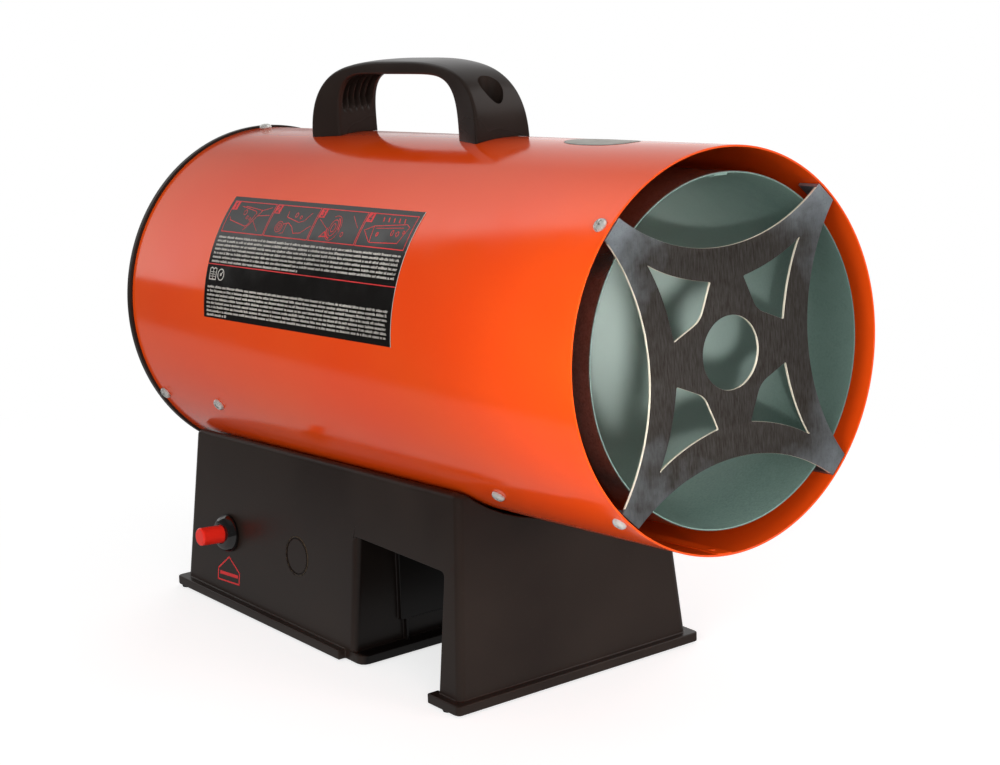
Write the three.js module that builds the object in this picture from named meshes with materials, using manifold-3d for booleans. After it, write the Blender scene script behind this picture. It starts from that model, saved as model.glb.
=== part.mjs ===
// A portable forced-air gas heater: a tilted steel tube carried on a moulded base.
// Lengths are in millimetres and +Z is up. The outlet faces -Y and the button is on the -X side.
// Each "along" is a distance on the tube's axis, back from the front rim of the casing.
import * as THREE from "three";
import { mergeVertices } from "three/addons/utils/BufferGeometryUtils.js";
import Module from "manifold-3d";

const wasm = await Module();
wasm.setup();
const radians = THREE.MathUtils.degToRad;

// Fits and facets
const gap = 0.3;
const overrun = 4;
const drumSteps = 60;
const turnedSteps = 18;
const smallSteps = 8;

// Outer casing
const casingRadius = 95;
const casingLength = 394;
const casingSheet = 1;
const casingLift = 96.7;
const tubeTilt = radians(4);

// Combustion tube and its stays
const flueAnnulus = 10.9;
const flueSheet = 0.9;
const flueToFan = 55;
const stayAlong = 97.6;
const stayAngle = radians(136);
const stayWidth = 14;
const staySheet = 1.2;
const stayFoot = 12;
const stayLeg = 18;

// Front guard
const guardSheet = 1.5;
const guardEdgeRadius = 49.3;
const guardArmHalf = 5.3;
const guardHoleRadius = 17.4;
const guardHubRing = 8.2;
const guardSeat = 0.7;
const guardTab = 13;
const guardScrewAlong = 6.2;
const kiteTip = 66.8;
const kiteCorner = 31.4;
const kiteCornerHalf = 17;
const kiteSag = 2;
const kiteHeelRise = 0.9;
const kiteHeelHalf = 4.5;
const kiteNotchHalf = 1.8;

// Screws on the tube
const screwHeadRadius = 3.5;
const screwHeadHeight = 2.4;
const screwShankRadius = 1.8;
const screwReach = 4;

// Rear guard
const lipRadius = 96.3;
const lipDepth = 4.7;
const collarDepth = 15;
const collarWall = 2.5;
const rearScrewInset = 6;
const grilleSheet = 3;
const grilleHub = 17;
const grilleBar = 3.8;
const grilleSpoke = 4;
const grilleRings = 5;
const grilleSectors = 6;

// Motor, its bracket and the fan
const bracketInset = 72.9;
const bracketSheet = 2;
const bracketDisc = 30;
const bracketArm = 16;
const bracketTab = 15;
const bracketAngles = [0, 120, -120].map(radians);
const motorRadius = 32;
const motorDepth = 48;
const motorBoss = 11;
const motorBossDepth = 4;
const motorTailRadius = 9;
const motorTailDepth = 5;
const shaftRadius = 3;
const shaftNose = 3;
const fanRadius = 85;
const fanHubRadius = 16;
const fanHubDepth = 20;
const fanToBracket = 8;
const fanBlades = 5;
const fanChord = 46;
const fanSheet = 1.5;
const fanPitch = radians(28);

// Burner, its bracket, nozzle, electrode and thermocouple
const burnerInset = 24;
const barSheet = 1.5;
const barHalf = 8;
const barTab = 14;
const barSeat = 0.6;
const cupRadius = 30;
const cupFlare = 6;
const cupDepth = 34;
const cupSheet = 1;
const nozzleNose = 5;
const nozzleHex = 9;
const nozzleHexDepth = 8;
const nozzleTail = 6;
const nozzleTailDepth = 20;
const nozzleNoseDepth = 5;
const jetRadius = 1.5;
const probeOffset = 42;
const insulatorRadius = 4;
const insulatorFront = 22;
const insulatorBack = 20;
const electrodeRadius = 1.2;
const electrodeFront = 44;
const electrodeBend = 8;
const probeRadius = 2.5;
const probeFront = 46;
const probeNut = 5;
const probeNutDepth = 8;
const capillaryRadius = 1.2;
const cutoutRadius = 7.5;
const cutoutDepth = 6;
const cutoutBack = 14;

// Handle
const handleToBracketScrew = 16;
const handleLength = 153.2;
const handleRise = 39.9;
const handleWidth = 25;
const handleFaceSpread = 5;
const handleUnderSpread = 0.4;
const handleOuterPowers = [3.3, 2.7];
const handleInnerPowers = [6, 3.4];
const handleStations = 18;
const handleGrip = 7.2;
const handleFoot = 22;
const handleEdge = 2.2;
const handleSeat = 0.6;
const pocketRadius = 6.2;
const pocketInset = 8.6;
const pocketFloor = 14;
const handleScrewRadius = 4;

// Instruction label
const labelTop = radians(45.4);
const labelBottom = radians(87);
const labelToBracket = 15.1;
const labelLength = 175.2;
const labelSheet = 0.4;

// Base housing
const footHeight = 1.2;
const footRadius = 3;
const footStem = 1.5;
const footStemRise = 3.5;
const bodyHalfWidth = 76.4;
const bodyFront = 116.6;
const bodyToCasingEnd = 9.2;
const sideDraft = radians(5);
const endDraft = radians(4.55);
const bodyCorner = 4;
const bodyWall = 2.5;
const shoulderFront = 109.6;
const shoulderRear = 94.4;
const shoulderRound = 3;
const saddleGap = 1.6;
const flangeOut = 4.1;
const flangeHeight = 5.2;
const flangeCorner = 2.5;
const flangePastLeg = 4.6;
const flangeShortOfArch = 3.8;
const legDepth = 17.6;
const legLean = -0.5;
const archLength = 81;
const archHeight = 68;
const archCorner = 3;
const compartmentFront = 94.4;
const compartmentCorner = 4;
const compartmentLip = 8.4;
const compartmentLipCorner = 5;
const panelHalf = 46.5;
const panelDepth = 3;
const panelLow = 17;
const panelTop = 60;
const panelRib = 1.6;
const panelRibInset = 4;
const bottomSheet = 1.2;
const bottomRise = 1;
const plateBoss = 5;
const plateBossRise = 16;
const boltHead = 4;
const boltHeadDepth = 2.6;
const boltShank = 2.5;
const boltBoss = 5;
const boltBossDepth = 14;
const boltBackInset = 46;
const boltSetBack = 3.6;

// Button, bezel and gas valve
const buttonFromRear = 45.9;
const buttonHeight = 41.1;
const buttonRadius = 5.1;
const buttonOut = 19.5;
const buttonCollar = 6.1;
const buttonCollarDepth = 3;
const buttonTravel = 7;
const bezelRadius = 10.85;
const bezelDepth = 6;
const bezelLip = 1.2;
const neckRadius = 8;
const neckOut = 4.5;
const valveRadius = 12;
const valveDepth = 44;
const springSeat = 20;
const springWire = 0.5;
const springRadius = 4.9;
const springCurls = 5;
const curlSteps = 8;
const springSides = 5;
const spindleRadius = 2;
const spindleGrip = 6;
const portRadius = 6.5;
const portReach = 16;
const portDepth = 5;
const outletDepth = 34;
const inletDepth = 27;
const pipeRadius = 4;
const pipeBore = 2.6;
const pipeBendShare = 0.6;
const switchLength = 20;
const switchWidth = 9;
const switchHeight = 8;
const knockoutForward = 70.7;
const knockoutRise = 3.2;
const knockoutRadius = 10.8;
const knockoutGroove = 0.8;
const knockoutDepth = 0.5;

// Back of the base: gas inlet, rocker and cable gland
const rearPadRadius = 11.5;
const rearPadProud = 0.8;
const inletHex = 9.5;
const inletHexDepth = 6;
const inletRadius = 6.5;
const inletNipple = 13;
const inletInner = 12;
const inletBore = 3;
const inletNut = 9;
const inletNutDepth = 8;
const rockerSide = 16;
const rockerHeight = 42;
const rockerFrameX = 8;
const rockerFrameZ = 11;
const rockerFrameDepth = 2;
const rockerBodyDepth = 14;
const rockerCellX = 5.1;
const rockerCellZ = 8;
const rockerCellDepth = 6;
const rockerLip = 1.5;
const rockerPivotDepth = 1.2;
const rockerPin = 1;
const rockerPinReach = 1.2;
const rockerHalf = 7.2;
const rockerThick = 2.6;
const rockerHeelShare = 0.7;
const rockerSwing = radians(8);
const glandSide = 52;
const glandHeight = 40;
const glandFlange = 9;
const glandBody = 6.5;
const glandBore = 3.8;
const glandOut = 11;
const glandIn = 8;

// Grommet, leads and what stands on the bottom plate
const grommetToFan = 24;
const grommetHalfX = 14;
const grommetHalfY = 7;
const grommetFlange = 2;
const grommetFlangeDepth = 2;
const leadSpacing = 9;
const leadRadius = 1.6;
const moduleSide = 38;
const moduleLength = 46;
const moduleWidth = 26;
const moduleHeight = 32;
const moduleFromFront = 30;
const terminalSide = 44;
const terminalLength = 22;
const terminalWidth = 30;
const terminalHeight = 15;
const terminalFromRear = 36;

// Derived sizes that several pieces share
const casingInner = casingRadius - casingSheet;
const flueRadius = casingInner - flueAnnulus;
const flueInner = flueRadius - flueSheet;
const flueFront = guardSheet + gap;
const guardReach = casingInner - guardSeat;
const bracketFront = casingLength - bracketInset;
const bracketScrewAlong = bracketFront + bracketTab / 2;
const fanBack = bracketFront - fanToBracket;
const fanFront = fanBack - fanHubDepth;
const flueBack = fanFront - flueToFan;
const grommetAlong = fanFront - grommetToFan;
const barFront = flueBack - burnerInset;
const handleBack = bracketScrewAlong - handleToBracketScrew;
const handleFront = handleBack - handleLength;
const labelBack = bracketScrewAlong - labelToBracket;
const axisHeight = casingLift + casingRadius;
const bodyRear = casingLength - bodyToCasingEnd;
const bodyLength = bodyRear - bodyFront;
const saddleRadius = casingRadius + saddleGap;
const compartmentStart = bodyFront + compartmentFront;
const archStart = bodyFront + legDepth;
const tubePlace = new THREE.Matrix4().makeRotationX(-tubeTilt).setPosition(0, 0, axisHeight);

// Builds a solid for cutting and joining from a closed mesh.
function solidOf(geometry) {
  const plain = geometry.clone();
  plain.deleteAttribute("normal");
  plain.deleteAttribute("uv");
  const merged = mergeVertices(plain);
  const kept = [];
  for (let i = 0; i < merged.index.count; i += 3) {
    const [a, b, c] = merged.index.array.slice(i, i + 3);
    if (a !== b && b !== c && c !== a) kept.push(a, b, c);
  }
  const vertProperties = new Float32Array(merged.attributes.position.array);
  return new wasm.Manifold(new wasm.Mesh({ numProp: 3, vertProperties, triVerts: new Uint32Array(kept) }));
}

// Gives a solid back as a mesh with flat faces.
function geometryOf(solid) {
  const mesh = solid.getMesh();
  const geometry = new THREE.BufferGeometry();
  geometry.setAttribute("position", new THREE.BufferAttribute(new Float32Array(mesh.vertProperties), 3));
  geometry.setIndex(new THREE.BufferAttribute(new Uint32Array(mesh.triVerts), 1));
  const flat = geometry.toNonIndexed();
  flat.computeVertexNormals();
  return flat;
}

function joined(...geometries) {
  return geometryOf(geometries.map(solidOf).reduce((whole, part) => whole.add(part)));
}

function cut(geometry, ...cutters) {
  const solids = cutters.map(solidOf);
  return geometryOf(solids.reduce((whole, cutter) => whole.subtract(cutter), solidOf(geometry)));
}

// A solid of revolution about Y, from [radius, along] pairs.
function turned(profile, steps = turnedSteps) {
  const points = profile.map(([radius, along]) => new THREE.Vector2(radius, along));
  return new THREE.LatheGeometry(points, steps);
}

function rod(radius, from, to, steps = turnedSteps) {
  return turned([[0, from], [radius, from], [radius, to], [0, to]], steps);
}

function sleeve(inner, outer, from, to, steps = turnedSteps) {
  return turned([[outer, from], [outer, to], [inner, to], [inner, from], [outer, from]], steps);
}

// Turns a piece made about Y so that its +Y end points up +Z.
function upright(geometry) {
  return geometry.rotateX(Math.PI / 2);
}

// Turns a piece made about Y so that its +Y end points along +X.
function sideways(geometry) {
  return geometry.rotateZ(-Math.PI / 2);
}

function block(low, high) {
  const [dx, dy, dz] = high.map((value, axis) => value - low[axis]);
  const [cx, cy, cz] = high.map((value, axis) => (value + low[axis]) / 2);
  return new THREE.BoxGeometry(dx, dy, dz).translate(cx, cy, cz);
}

// An outline carried straight along one axis. Its pairs are on the other two axes, in x, y, z order.
function prism(axis, outline, from, to, holes = []) {
  const shape = new THREE.Shape(outline.map((pair) => new THREE.Vector2(...pair)));
  shape.holes = holes.map((hole) => new THREE.Path(hole.map((pair) => new THREE.Vector2(...pair))));
  const geometry = new THREE.ExtrudeGeometry(shape, { depth: to - from, bevelEnabled: false });
  if (axis === "z") return geometry.translate(0, 0, from);
  if (axis === "y") return geometry.rotateX(Math.PI / 2).translate(0, to, 0);
  const turn = new THREE.Matrix4().set(0, 0, 1, 0, 1, 0, 0, 0, 0, 1, 0, 0, 0, 0, 0, 1);
  return geometry.applyMatrix4(turn).translate(from, 0, 0);
}

// Points on an arc, both ends included.
function arc(centreA, centreB, radius, start, end, steps) {
  return Array.from({ length: steps + 1 }, (_, i) => {
    const angle = start + ((end - start) * i) / steps;
    return [centreA + radius * Math.cos(angle), centreB + radius * Math.sin(angle)];
  });
}

// A skin over matching convex rings of points, closed by flat ends.
function loft(rings) {
  const count = rings[0].length;
  const index = [];
  for (let base = 0; base < (rings.length - 1) * count; base += count) {
    for (let side = 0; side < count; side += 1) {
      const a = base + side;
      const b = base + ((side + 1) % count);
      index.push(a, b, b + count, a, b + count, a + count);
    }
  }
  const last = (rings.length - 1) * count;
  for (let side = 1; side < count - 1; side += 1) {
    index.push(0, side + 1, side, last, last + side, last + side + 1);
  }
  const geometry = new THREE.BufferGeometry();
  geometry.setAttribute("position", new THREE.Float32BufferAttribute(rings.flat(2), 3));
  geometry.setIndex(index);
  return geometry;
}

// A round bar along a smooth curve through the points.
function bar(points, radius, steps, sides = 8) {
  const stops = points.map((point) => new THREE.Vector3(...point));
  const extrudePath = new THREE.CatmullRomCurve3(stops, false, "centripetal");
  const ring = arc(0, 0, radius, 0, 2 * Math.PI, sides).slice(1);
  const section = new THREE.Shape(ring.map((pair) => new THREE.Vector2(...pair)));
  return new THREE.ExtrudeGeometry(section, { steps, extrudePath });
}

// Moves a shape that stands up from +Z to its angle on the tube, counted from the top towards -X.
function onTube(geometry, angle, along) {
  return geometry.rotateY(-angle).translate(0, along, 0);
}

function fromTube(x, along, z) {
  return new THREE.Vector3(x, along, z).applyMatrix4(tubePlace).toArray();
}

// The place along the tube whose lowest line lies over a place on the base.
function alongOver(place) {
  return (place + casingRadius * Math.sin(tubeTilt)) / Math.cos(tubeTilt);
}

function flankAt(height) {
  return bodyHalfWidth - height * Math.tan(sideDraft);
}

function rearAt(height) {
  return bodyRear - height * Math.tan(endDraft);
}

const finishes = {
  enamel: { color: 0xe8541f, roughness: 0.28, metalness: 0 },
  galvanised: { color: 0x848f88, roughness: 0.5, metalness: 0.9 },
  plate: { color: 0x7d7972, roughness: 0.45, metalness: 0.9 },
  zinc: { color: 0xb9b8b4, roughness: 0.35, metalness: 1 },
  charcoal: { color: 0x373230, roughness: 0.55, metalness: 0 },
  gloss: { color: 0x141212, roughness: 0.15, metalness: 0 },
  rubber: { color: 0x1c1c1c, roughness: 0.8, metalness: 0 },
  red: { color: 0xd21a12, roughness: 0.3, metalness: 0 },
  brass: { color: 0xb5954a, roughness: 0.35, metalness: 1 },
  copper: { color: 0xa8603c, roughness: 0.35, metalness: 1 },
  ceramic: { color: 0xe6e0d2, roughness: 0.4, metalness: 0 },
  alloy: { color: 0xa9abab, roughness: 0.4, metalness: 1 },
  label: { color: 0x1a1717, roughness: 0.5, metalness: 0 },
};

function piece(group, name, finish, geometry) {
  const mesh = new THREE.Mesh(geometry, new THREE.MeshStandardMaterial(finishes[finish]));
  mesh.name = name;
  group.add(mesh);
  return mesh;
}

const heater = new THREE.Group();
const stand = new THREE.Group();
const tube = new THREE.Group();
heater.add(stand);
stand.add(tube);
stand.position.z = footHeight;
tube.position.z = axisHeight;
tube.rotation.x = -tubeTilt;

const tubeScrews = [
  ...[1, 2, 3, 4].map((number) => ({
    name: `guard_screw_${number}`,
    angle: radians(90 * number - 45),
    along: guardScrewAlong,
  })),
  ...[1, 2].map((number) => ({
    name: `stay_screw_${number}`,
    angle: number === 1 ? stayAngle : -stayAngle,
    along: stayAlong,
  })),
  ...bracketAngles.map((angle, i) => ({ name: `bracket_screw_${i + 1}`, angle, along: bracketScrewAlong })),
  ...bracketAngles.map((angle, i) => ({
    name: `rear_guard_screw_${i + 1}`,
    angle,
    along: casingLength - rearScrewInset,
  })),
];
const pocketPlaces = [handleFront + pocketInset, handleBack - pocketInset];
const boltPlaces = [alongOver(bodyFront + legDepth / 2 + boltSetBack), alongOver(bodyRear - boltBackInset)];

// A radial hole for a screw's shank through whatever lies near the casing's wall.
function shankHole(angle, along, radius = screwShankRadius + gap) {
  const reach = casingInner - screwReach - overrun;
  return onTube(upright(rod(radius, reach, casingRadius + overrun, smallSteps)), angle, along);
}

function grommetOutline(halfX, halfY) {
  return [
    ...arc(halfX - halfY, grommetAlong, halfY, -Math.PI / 2, Math.PI / 2, 6),
    ...arc(halfY - halfX, grommetAlong, halfY, Math.PI / 2, 1.5 * Math.PI, 6),
  ];
}

function addCasing() {
  const shell = sleeve(casingInner, casingRadius, 0, casingLength, drumSteps);
  const holes = tubeScrews.map(({ angle, along }) => shankHole(angle, along));
  for (const along of pocketPlaces) holes.push(shankHole(0, along));
  for (const along of boltPlaces) holes.push(shankHole(Math.PI, along, boltShank + gap));
  const opening = prism("z", grommetOutline(grommetHalfX, grommetHalfY), -casingRadius - overrun, 0);
  piece(tube, "outer_casing", "enamel", cut(shell, opening, ...holes));
}

function addCombustionTube() {
  piece(tube, "combustion_tube", "galvanised", sleeve(flueInner, flueRadius, flueFront, flueBack, drumSteps));
  const footTop = Math.sqrt((casingInner - gap) ** 2 - (stayWidth / 2) ** 2) - gap;
  const footLow = flueRadius + gap;
  const profile = [
    [stayAlong - stayFoot / 2, footTop - staySheet],
    [stayAlong + stayFoot / 2 - staySheet, footTop - staySheet],
    [stayAlong + stayFoot / 2 - staySheet, footLow],
    [stayAlong + stayLeg, footLow],
    [stayAlong + stayLeg, footLow + staySheet],
    [stayAlong + stayFoot / 2, footLow + staySheet],
    [stayAlong + stayFoot / 2, footTop],
    [stayAlong - stayFoot / 2, footTop],
  ];
  for (const [name, angle] of [["tube_stay_left", stayAngle], ["tube_stay_right", -stayAngle]]) {
    const strip = prism("x", profile, -stayWidth / 2, stayWidth / 2).rotateY(-angle);
    piece(tube, name, "galvanised", cut(strip, shankHole(angle, stayAlong)));
  }
}

// The guard's arms lie between four concave edges. The long sides of its kite-shaped cut-outs sag inwards.
function addFrontGuard() {
  const armTurn = Math.PI / 4;
  const centre = (guardEdgeRadius - guardArmHalf) / (1 - Math.sin(armTurn));
  const edge = centre - guardEdgeRadius;
  const offset = centre * Math.sin(armTurn);
  const armEnd = offset - Math.sqrt(edge ** 2 - (guardReach - offset) ** 2);
  const outline = [];
  for (let arm = 0; arm < 4; arm += 1) {
    const turn = arm * 2 * armTurn;
    const half = Math.asin((guardReach * Math.sin(armTurn) - armEnd * Math.cos(armTurn)) / edge);
    const middle = [centre * Math.cos(turn), centre * Math.sin(turn)];
    outline.push(...arc(...middle, edge, turn + Math.PI + half, turn + Math.PI - half, 14));
  }
  const notch = guardHoleRadius + guardHubRing;
  const side = Array.from({ length: 7 }, (_, i) => {
    const share = i / 6;
    return [kiteTip + (kiteCorner - kiteTip) * share, (kiteCornerHalf - kiteSag * 4 * (1 - share)) * share];
  });
  side.push([notch + kiteHeelRise, kiteHeelHalf], [notch, kiteNotchHalf]);
  const kite = [...side, ...side.slice(1).reverse().map(([along, half]) => [along, -half])];
  const holes = [arc(0, 0, guardHoleRadius, 0, 2 * Math.PI, 36).slice(1)];
  for (let arm = 0; arm < 4; arm += 1) {
    const turn = armTurn + arm * 2 * armTurn;
    const [cos, sin] = [Math.cos(turn), Math.sin(turn)];
    holes.push(kite.map(([along, half]) => [along * cos - half * sin, along * sin + half * cos]));
  }
  const plate = prism("y", outline, 0, guardSheet, holes);
  const tabs = [];
  const bores = [];
  for (const { name, angle, along } of tubeScrews) {
    if (!name.startsWith("guard")) continue;
    const tab = block([-armEnd, 0, guardReach - guardSheet], [armEnd, guardTab, guardReach]);
    tabs.push(tab.rotateY(-angle));
    bores.push(shankHole(angle, along));
  }
  piece(tube, "front_guard", "plate", cut(joined(plate, ...tabs), ...bores));
}

function panHead(headRadius, headHeight, shankRadius, shankEnd, seat) {
  const head = seat + gap;
  return upright(turned([
    [0, shankEnd],
    [shankRadius, shankEnd],
    [shankRadius, head],
    [headRadius, head],
    [headRadius, head + headHeight / 2],
    [headRadius / 2, head + headHeight],
    [0, head + headHeight],
  ], smallSteps));
}

function addTubeScrews() {
  for (const { name, angle, along } of tubeScrews) {
    const end = casingInner - screwReach;
    const screw = panHead(screwHeadRadius, screwHeadHeight, screwShankRadius, end, casingRadius);
    piece(tube, name, "zinc", onTube(screw, angle, along));
  }
}

function addRearGuard() {
  const outer = casingInner - gap;
  const inner = outer - collarWall;
  const back = casingLength + lipDepth;
  const rim = turned([
    [inner, casingLength - collarDepth],
    [outer, casingLength - collarDepth],
    [outer, casingLength + gap],
    [lipRadius, casingLength + gap],
    [lipRadius, back],
    [inner, back],
    [inner, casingLength - collarDepth],
  ], drumSteps);
  const pitch = (inner - grilleHub) / grilleRings;
  const slots = [];
  for (let ring = 0; ring < grilleRings; ring += 1) {
    const low = grilleHub + ring * pitch;
    const high = low + pitch - grilleBar;
    for (let sector = 0; sector < grilleSectors; sector += 1) {
      const middle = ((sector + 0.5) * 2 * Math.PI) / grilleSectors;
      const span = (radius) => Math.PI / grilleSectors - Math.asin(grilleSpoke / 2 / radius);
      slots.push([
        ...arc(0, 0, high, middle - span(high), middle + span(high), 4),
        ...arc(0, 0, low, middle + span(low), middle - span(low), 3),
      ]);
    }
  }
  const disc = arc(0, 0, inner + collarWall / 2, 0, 2 * Math.PI, drumSteps).slice(1);
  const grille = prism("y", disc, back - grilleSheet, back, slots);
  const bores = bracketAngles.map((angle) => shankHole(angle, casingLength - rearScrewInset));
  piece(tube, "rear_guard", "charcoal", cut(joined(rim, grille), ...bores));
}

function addMotor() {
  const seat = guardReach;
  const back = bracketFront + bracketSheet;
  const parts = [rod(bracketDisc, bracketFront, back, turnedSteps)];
  const bores = [rod(motorBoss + gap, bracketFront - overrun, back + overrun)];
  for (const angle of bracketAngles) {
    const half = bracketArm / 2;
    const tab = block([-half, bracketFront, seat - bracketSheet], [half, bracketFront + bracketTab, seat]);
    parts.push(block([-half, bracketFront, 0], [half, back, seat]).rotateY(-angle), tab.rotateY(-angle));
    bores.push(shankHole(angle, bracketScrewAlong));
  }
  piece(tube, "motor_bracket", "galvanised", cut(joined(...parts), ...bores));

  const can = back + gap;
  const canBack = can + motorDepth;
  const bore = shaftRadius + gap;
  piece(tube, "motor", "alloy", turned([
    [bore, can - motorBossDepth],
    [motorBoss, can - motorBossDepth],
    [motorBoss, can],
    [motorRadius, can],
    [motorRadius, canBack],
    [motorTailRadius, canBack],
    [motorTailRadius, canBack + motorTailDepth],
    [bore, canBack + motorTailDepth],
    [bore, can - motorBossDepth],
  ]));
  piece(tube, "motor_shaft", "zinc", rod(shaftRadius, fanFront - shaftNose, canBack));
}

function addFan() {
  const hub = rod(fanHubRadius, fanFront, fanBack);
  const reach = fanRadius - fanHubRadius / 2;
  const outlineShares = [
    [0, -0.22], [0.4, -0.4], [0.85, -0.5], [1, -0.28], [0.98, 0.32], [0.8, 0.5], [0.35, 0.4], [0, 0.22],
  ];
  const outline = outlineShares.map(([out, along]) => [fanHubRadius / 2 + out * reach, along * fanChord]);
  const blades = Array.from({ length: fanBlades }, (_, i) => {
    const blade = prism("z", outline, -fanSheet / 2, fanSheet / 2).rotateX(Math.PI / 2 - fanPitch);
    return blade.rotateY((i * 2 * Math.PI) / fanBlades).translate(0, (fanFront + fanBack) / 2, 0);
  });
  const bore = rod(shaftRadius + gap, fanFront - overrun, fanBack + overrun);
  piece(tube, "fan", "alloy", cut(joined(hub, ...blades), bore));
}

function addBurner() {
  const barBack = barFront + barSheet;
  const cupBack = barFront - gap;
  const cupFront = cupBack - cupDepth;
  const nose = nozzleNose + gap;
  piece(tube, "burner_cup", "plate", turned([
    [nose, cupBack],
    [nose, cupBack - cupSheet],
    [cupRadius - cupSheet, cupBack - cupSheet],
    [cupRadius - cupSheet, cupFront + cupFlare],
    [cupRadius + cupFlare - cupSheet, cupFront],
    [cupRadius + cupFlare, cupFront],
    [cupRadius, cupFront + cupFlare],
    [cupRadius, cupBack],
    [nose, cupBack],
  ]));

  const reach = flueInner - barSeat;
  const tabEnd = Math.sqrt(reach ** 2 - barHalf ** 2);
  const strap = [block([-tabEnd, barFront, -barHalf], [tabEnd, barBack, barHalf])];
  for (const side of [-1, 1]) {
    const [low, high] = [side * tabEnd, side * (tabEnd - barSheet)].sort((a, b) => a - b);
    strap.push(block([low, barFront - barTab, -barHalf], [high, barBack, barHalf]));
  }
  const through = (radius, x, steps) =>
    rod(radius, barFront - overrun, barBack + overrun, steps).translate(x, 0, 0);
  const holes = [
    through(nose, 0, turnedSteps),
    through(insulatorRadius + gap, probeOffset, smallSteps),
    through(probeRadius + gap, -probeOffset, smallSteps),
  ];
  piece(tube, "burner_bracket", "plate", cut(joined(...strap), ...holes));

  const hexFront = barBack + gap;
  const tailBack = hexFront + nozzleHexDepth + nozzleTailDepth;
  const body = turned([
    [jetRadius, cupBack - nozzleNoseDepth],
    [nozzleNose, cupBack - nozzleNoseDepth],
    [nozzleNose, hexFront],
    [nozzleTail, hexFront],
    [nozzleTail, tailBack],
    [jetRadius, tailBack],
    [jetRadius, cupBack - nozzleNoseDepth],
  ]);
  const hex = sleeve((jetRadius + nozzleNose) / 2, nozzleHex, hexFront, hexFront + nozzleHexDepth, 6);
  piece(tube, "gas_nozzle", "brass", joined(body, hex));

  const bore = electrodeRadius + gap;
  const insulatorEnd = barBack + insulatorBack;
  const ceramic = sleeve(bore, insulatorRadius, barFront - insulatorFront, insulatorEnd, smallSteps);
  piece(tube, "electrode_insulator", "ceramic", ceramic.translate(probeOffset, 0, 0));
  const back = insulatorEnd + gap;
  const front = barFront - electrodeFront;
  piece(tube, "spark_electrode", "plate", bar([
    [probeOffset, back, 0],
    [probeOffset, barFront, 0],
    [probeOffset, barFront - insulatorFront, 0],
    [probeOffset, front + 1.5 * electrodeBend, 0],
    [probeOffset, front + electrodeBend / 2, 0],
    [probeOffset - electrodeBend / 2, front, 0],
    [probeOffset - electrodeBend, front, 0],
  ], electrodeRadius, 16, 6));

  const cutout = rod(cutoutRadius, 0, cutoutDepth, turnedSteps);
  const cutoutSeat = Math.sqrt((casingInner - gap) ** 2 - cutoutRadius ** 2) - gap - cutoutDepth;
  const place = upright(cutout).translate(0, 0, cutoutSeat);
  piece(tube, "overheat_thermostat", "brass", onTube(place, Math.PI / 2, flueBack + cutoutBack));
}

// The handle is one bent bar: wide outside, narrower underneath, thin at the grip and deep at its feet.
function addHandle() {
  const top = casingRadius + handleRise;
  const grip = top - handleGrip;
  const sink = casingRadius - overrun;
  const innerLength = handleLength - 2 * handleFoot;
  // Each face is an arch: a superellipse whose powers set how square its shoulders are.
  const face = (start, length, rise, [alongPower, risePower], turn) => {
    const across = Math.sign(Math.cos(turn)) * Math.abs(Math.cos(turn)) ** (2 / alongPower);
    const height = casingRadius + rise * Math.sin(turn) ** (2 / risePower);
    return new THREE.Vector2(start + (length * (1 - across)) / 2, height);
  };
  const stations = Array.from({ length: handleStations + 1 }, (_, i) => {
    const turn = (Math.PI * i) / handleStations;
    const out = face(handleFront, handleLength, handleRise, handleOuterPowers, turn);
    const inside = face(handleFront + handleFoot, innerLength, grip - casingRadius, handleInnerPowers, turn);
    return { out, inside, spread: 1 - Math.sin(turn) };
  });
  const sunk = ({ out, inside, spread }) => ({
    out: new THREE.Vector2(out.x, sink - overrun),
    inside: new THREE.Vector2(inside.x, sink - overrun),
    spread,
  });
  const bends = [sunk(stations[0]), ...stations, sunk(stations[handleStations])];
  const rings = bends.map(({ out, inside, spread }) => {
    const step = out.clone().sub(inside).normalize().multiplyScalar(handleEdge);
    const wide = handleWidth / 2 + spread * handleFaceSpread;
    const narrow = handleWidth / 2 + spread * handleUnderSpread;
    const near = out.clone().sub(step);
    const deep = inside.clone().add(step);
    return [
      [wide - handleEdge, out.x, out.y],
      [wide, near.x, near.y],
      [narrow, deep.x, deep.y],
      [narrow - handleEdge, inside.x, inside.y],
      [handleEdge - narrow, inside.x, inside.y],
      [-narrow, deep.x, deep.y],
      [-wide, near.x, near.y],
      [handleEdge - wide, out.x, out.y],
    ];
  });
  const seat = rod(casingRadius + handleSeat, handleFront - overrun, handleBack + overrun, drumSteps);
  const floor = casingRadius + pocketFloor;
  const cutters = pocketPlaces.flatMap((along) => [
    upright(rod(pocketRadius, floor, top + overrun)).translate(0, along, 0),
    upright(rod(screwShankRadius + gap, sink, floor + overrun, smallSteps)).translate(0, along, 0),
  ]);
  piece(tube, "handle", "charcoal", cut(loft(rings), seat, ...cutters));
  pocketPlaces.forEach((along, i) => {
    const end = casingInner - screwReach;
    const screw = panHead(handleScrewRadius, screwHeadHeight, screwShankRadius, end, floor);
    piece(tube, `handle_screw_${i + 1}`, "zinc", onTube(screw, 0, along));
  });
}

function addLabel() {
  const low = casingRadius + gap;
  const outline = [
    ...arc(0, 0, low + labelSheet, Math.PI / 2 + labelTop, Math.PI / 2 + labelBottom, 12),
    ...arc(0, 0, low, Math.PI / 2 + labelBottom, Math.PI / 2 + labelTop, 12),
  ];
  piece(tube, "instruction_label", "label", prism("y", outline, labelBack - labelLength, labelBack));
}

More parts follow.
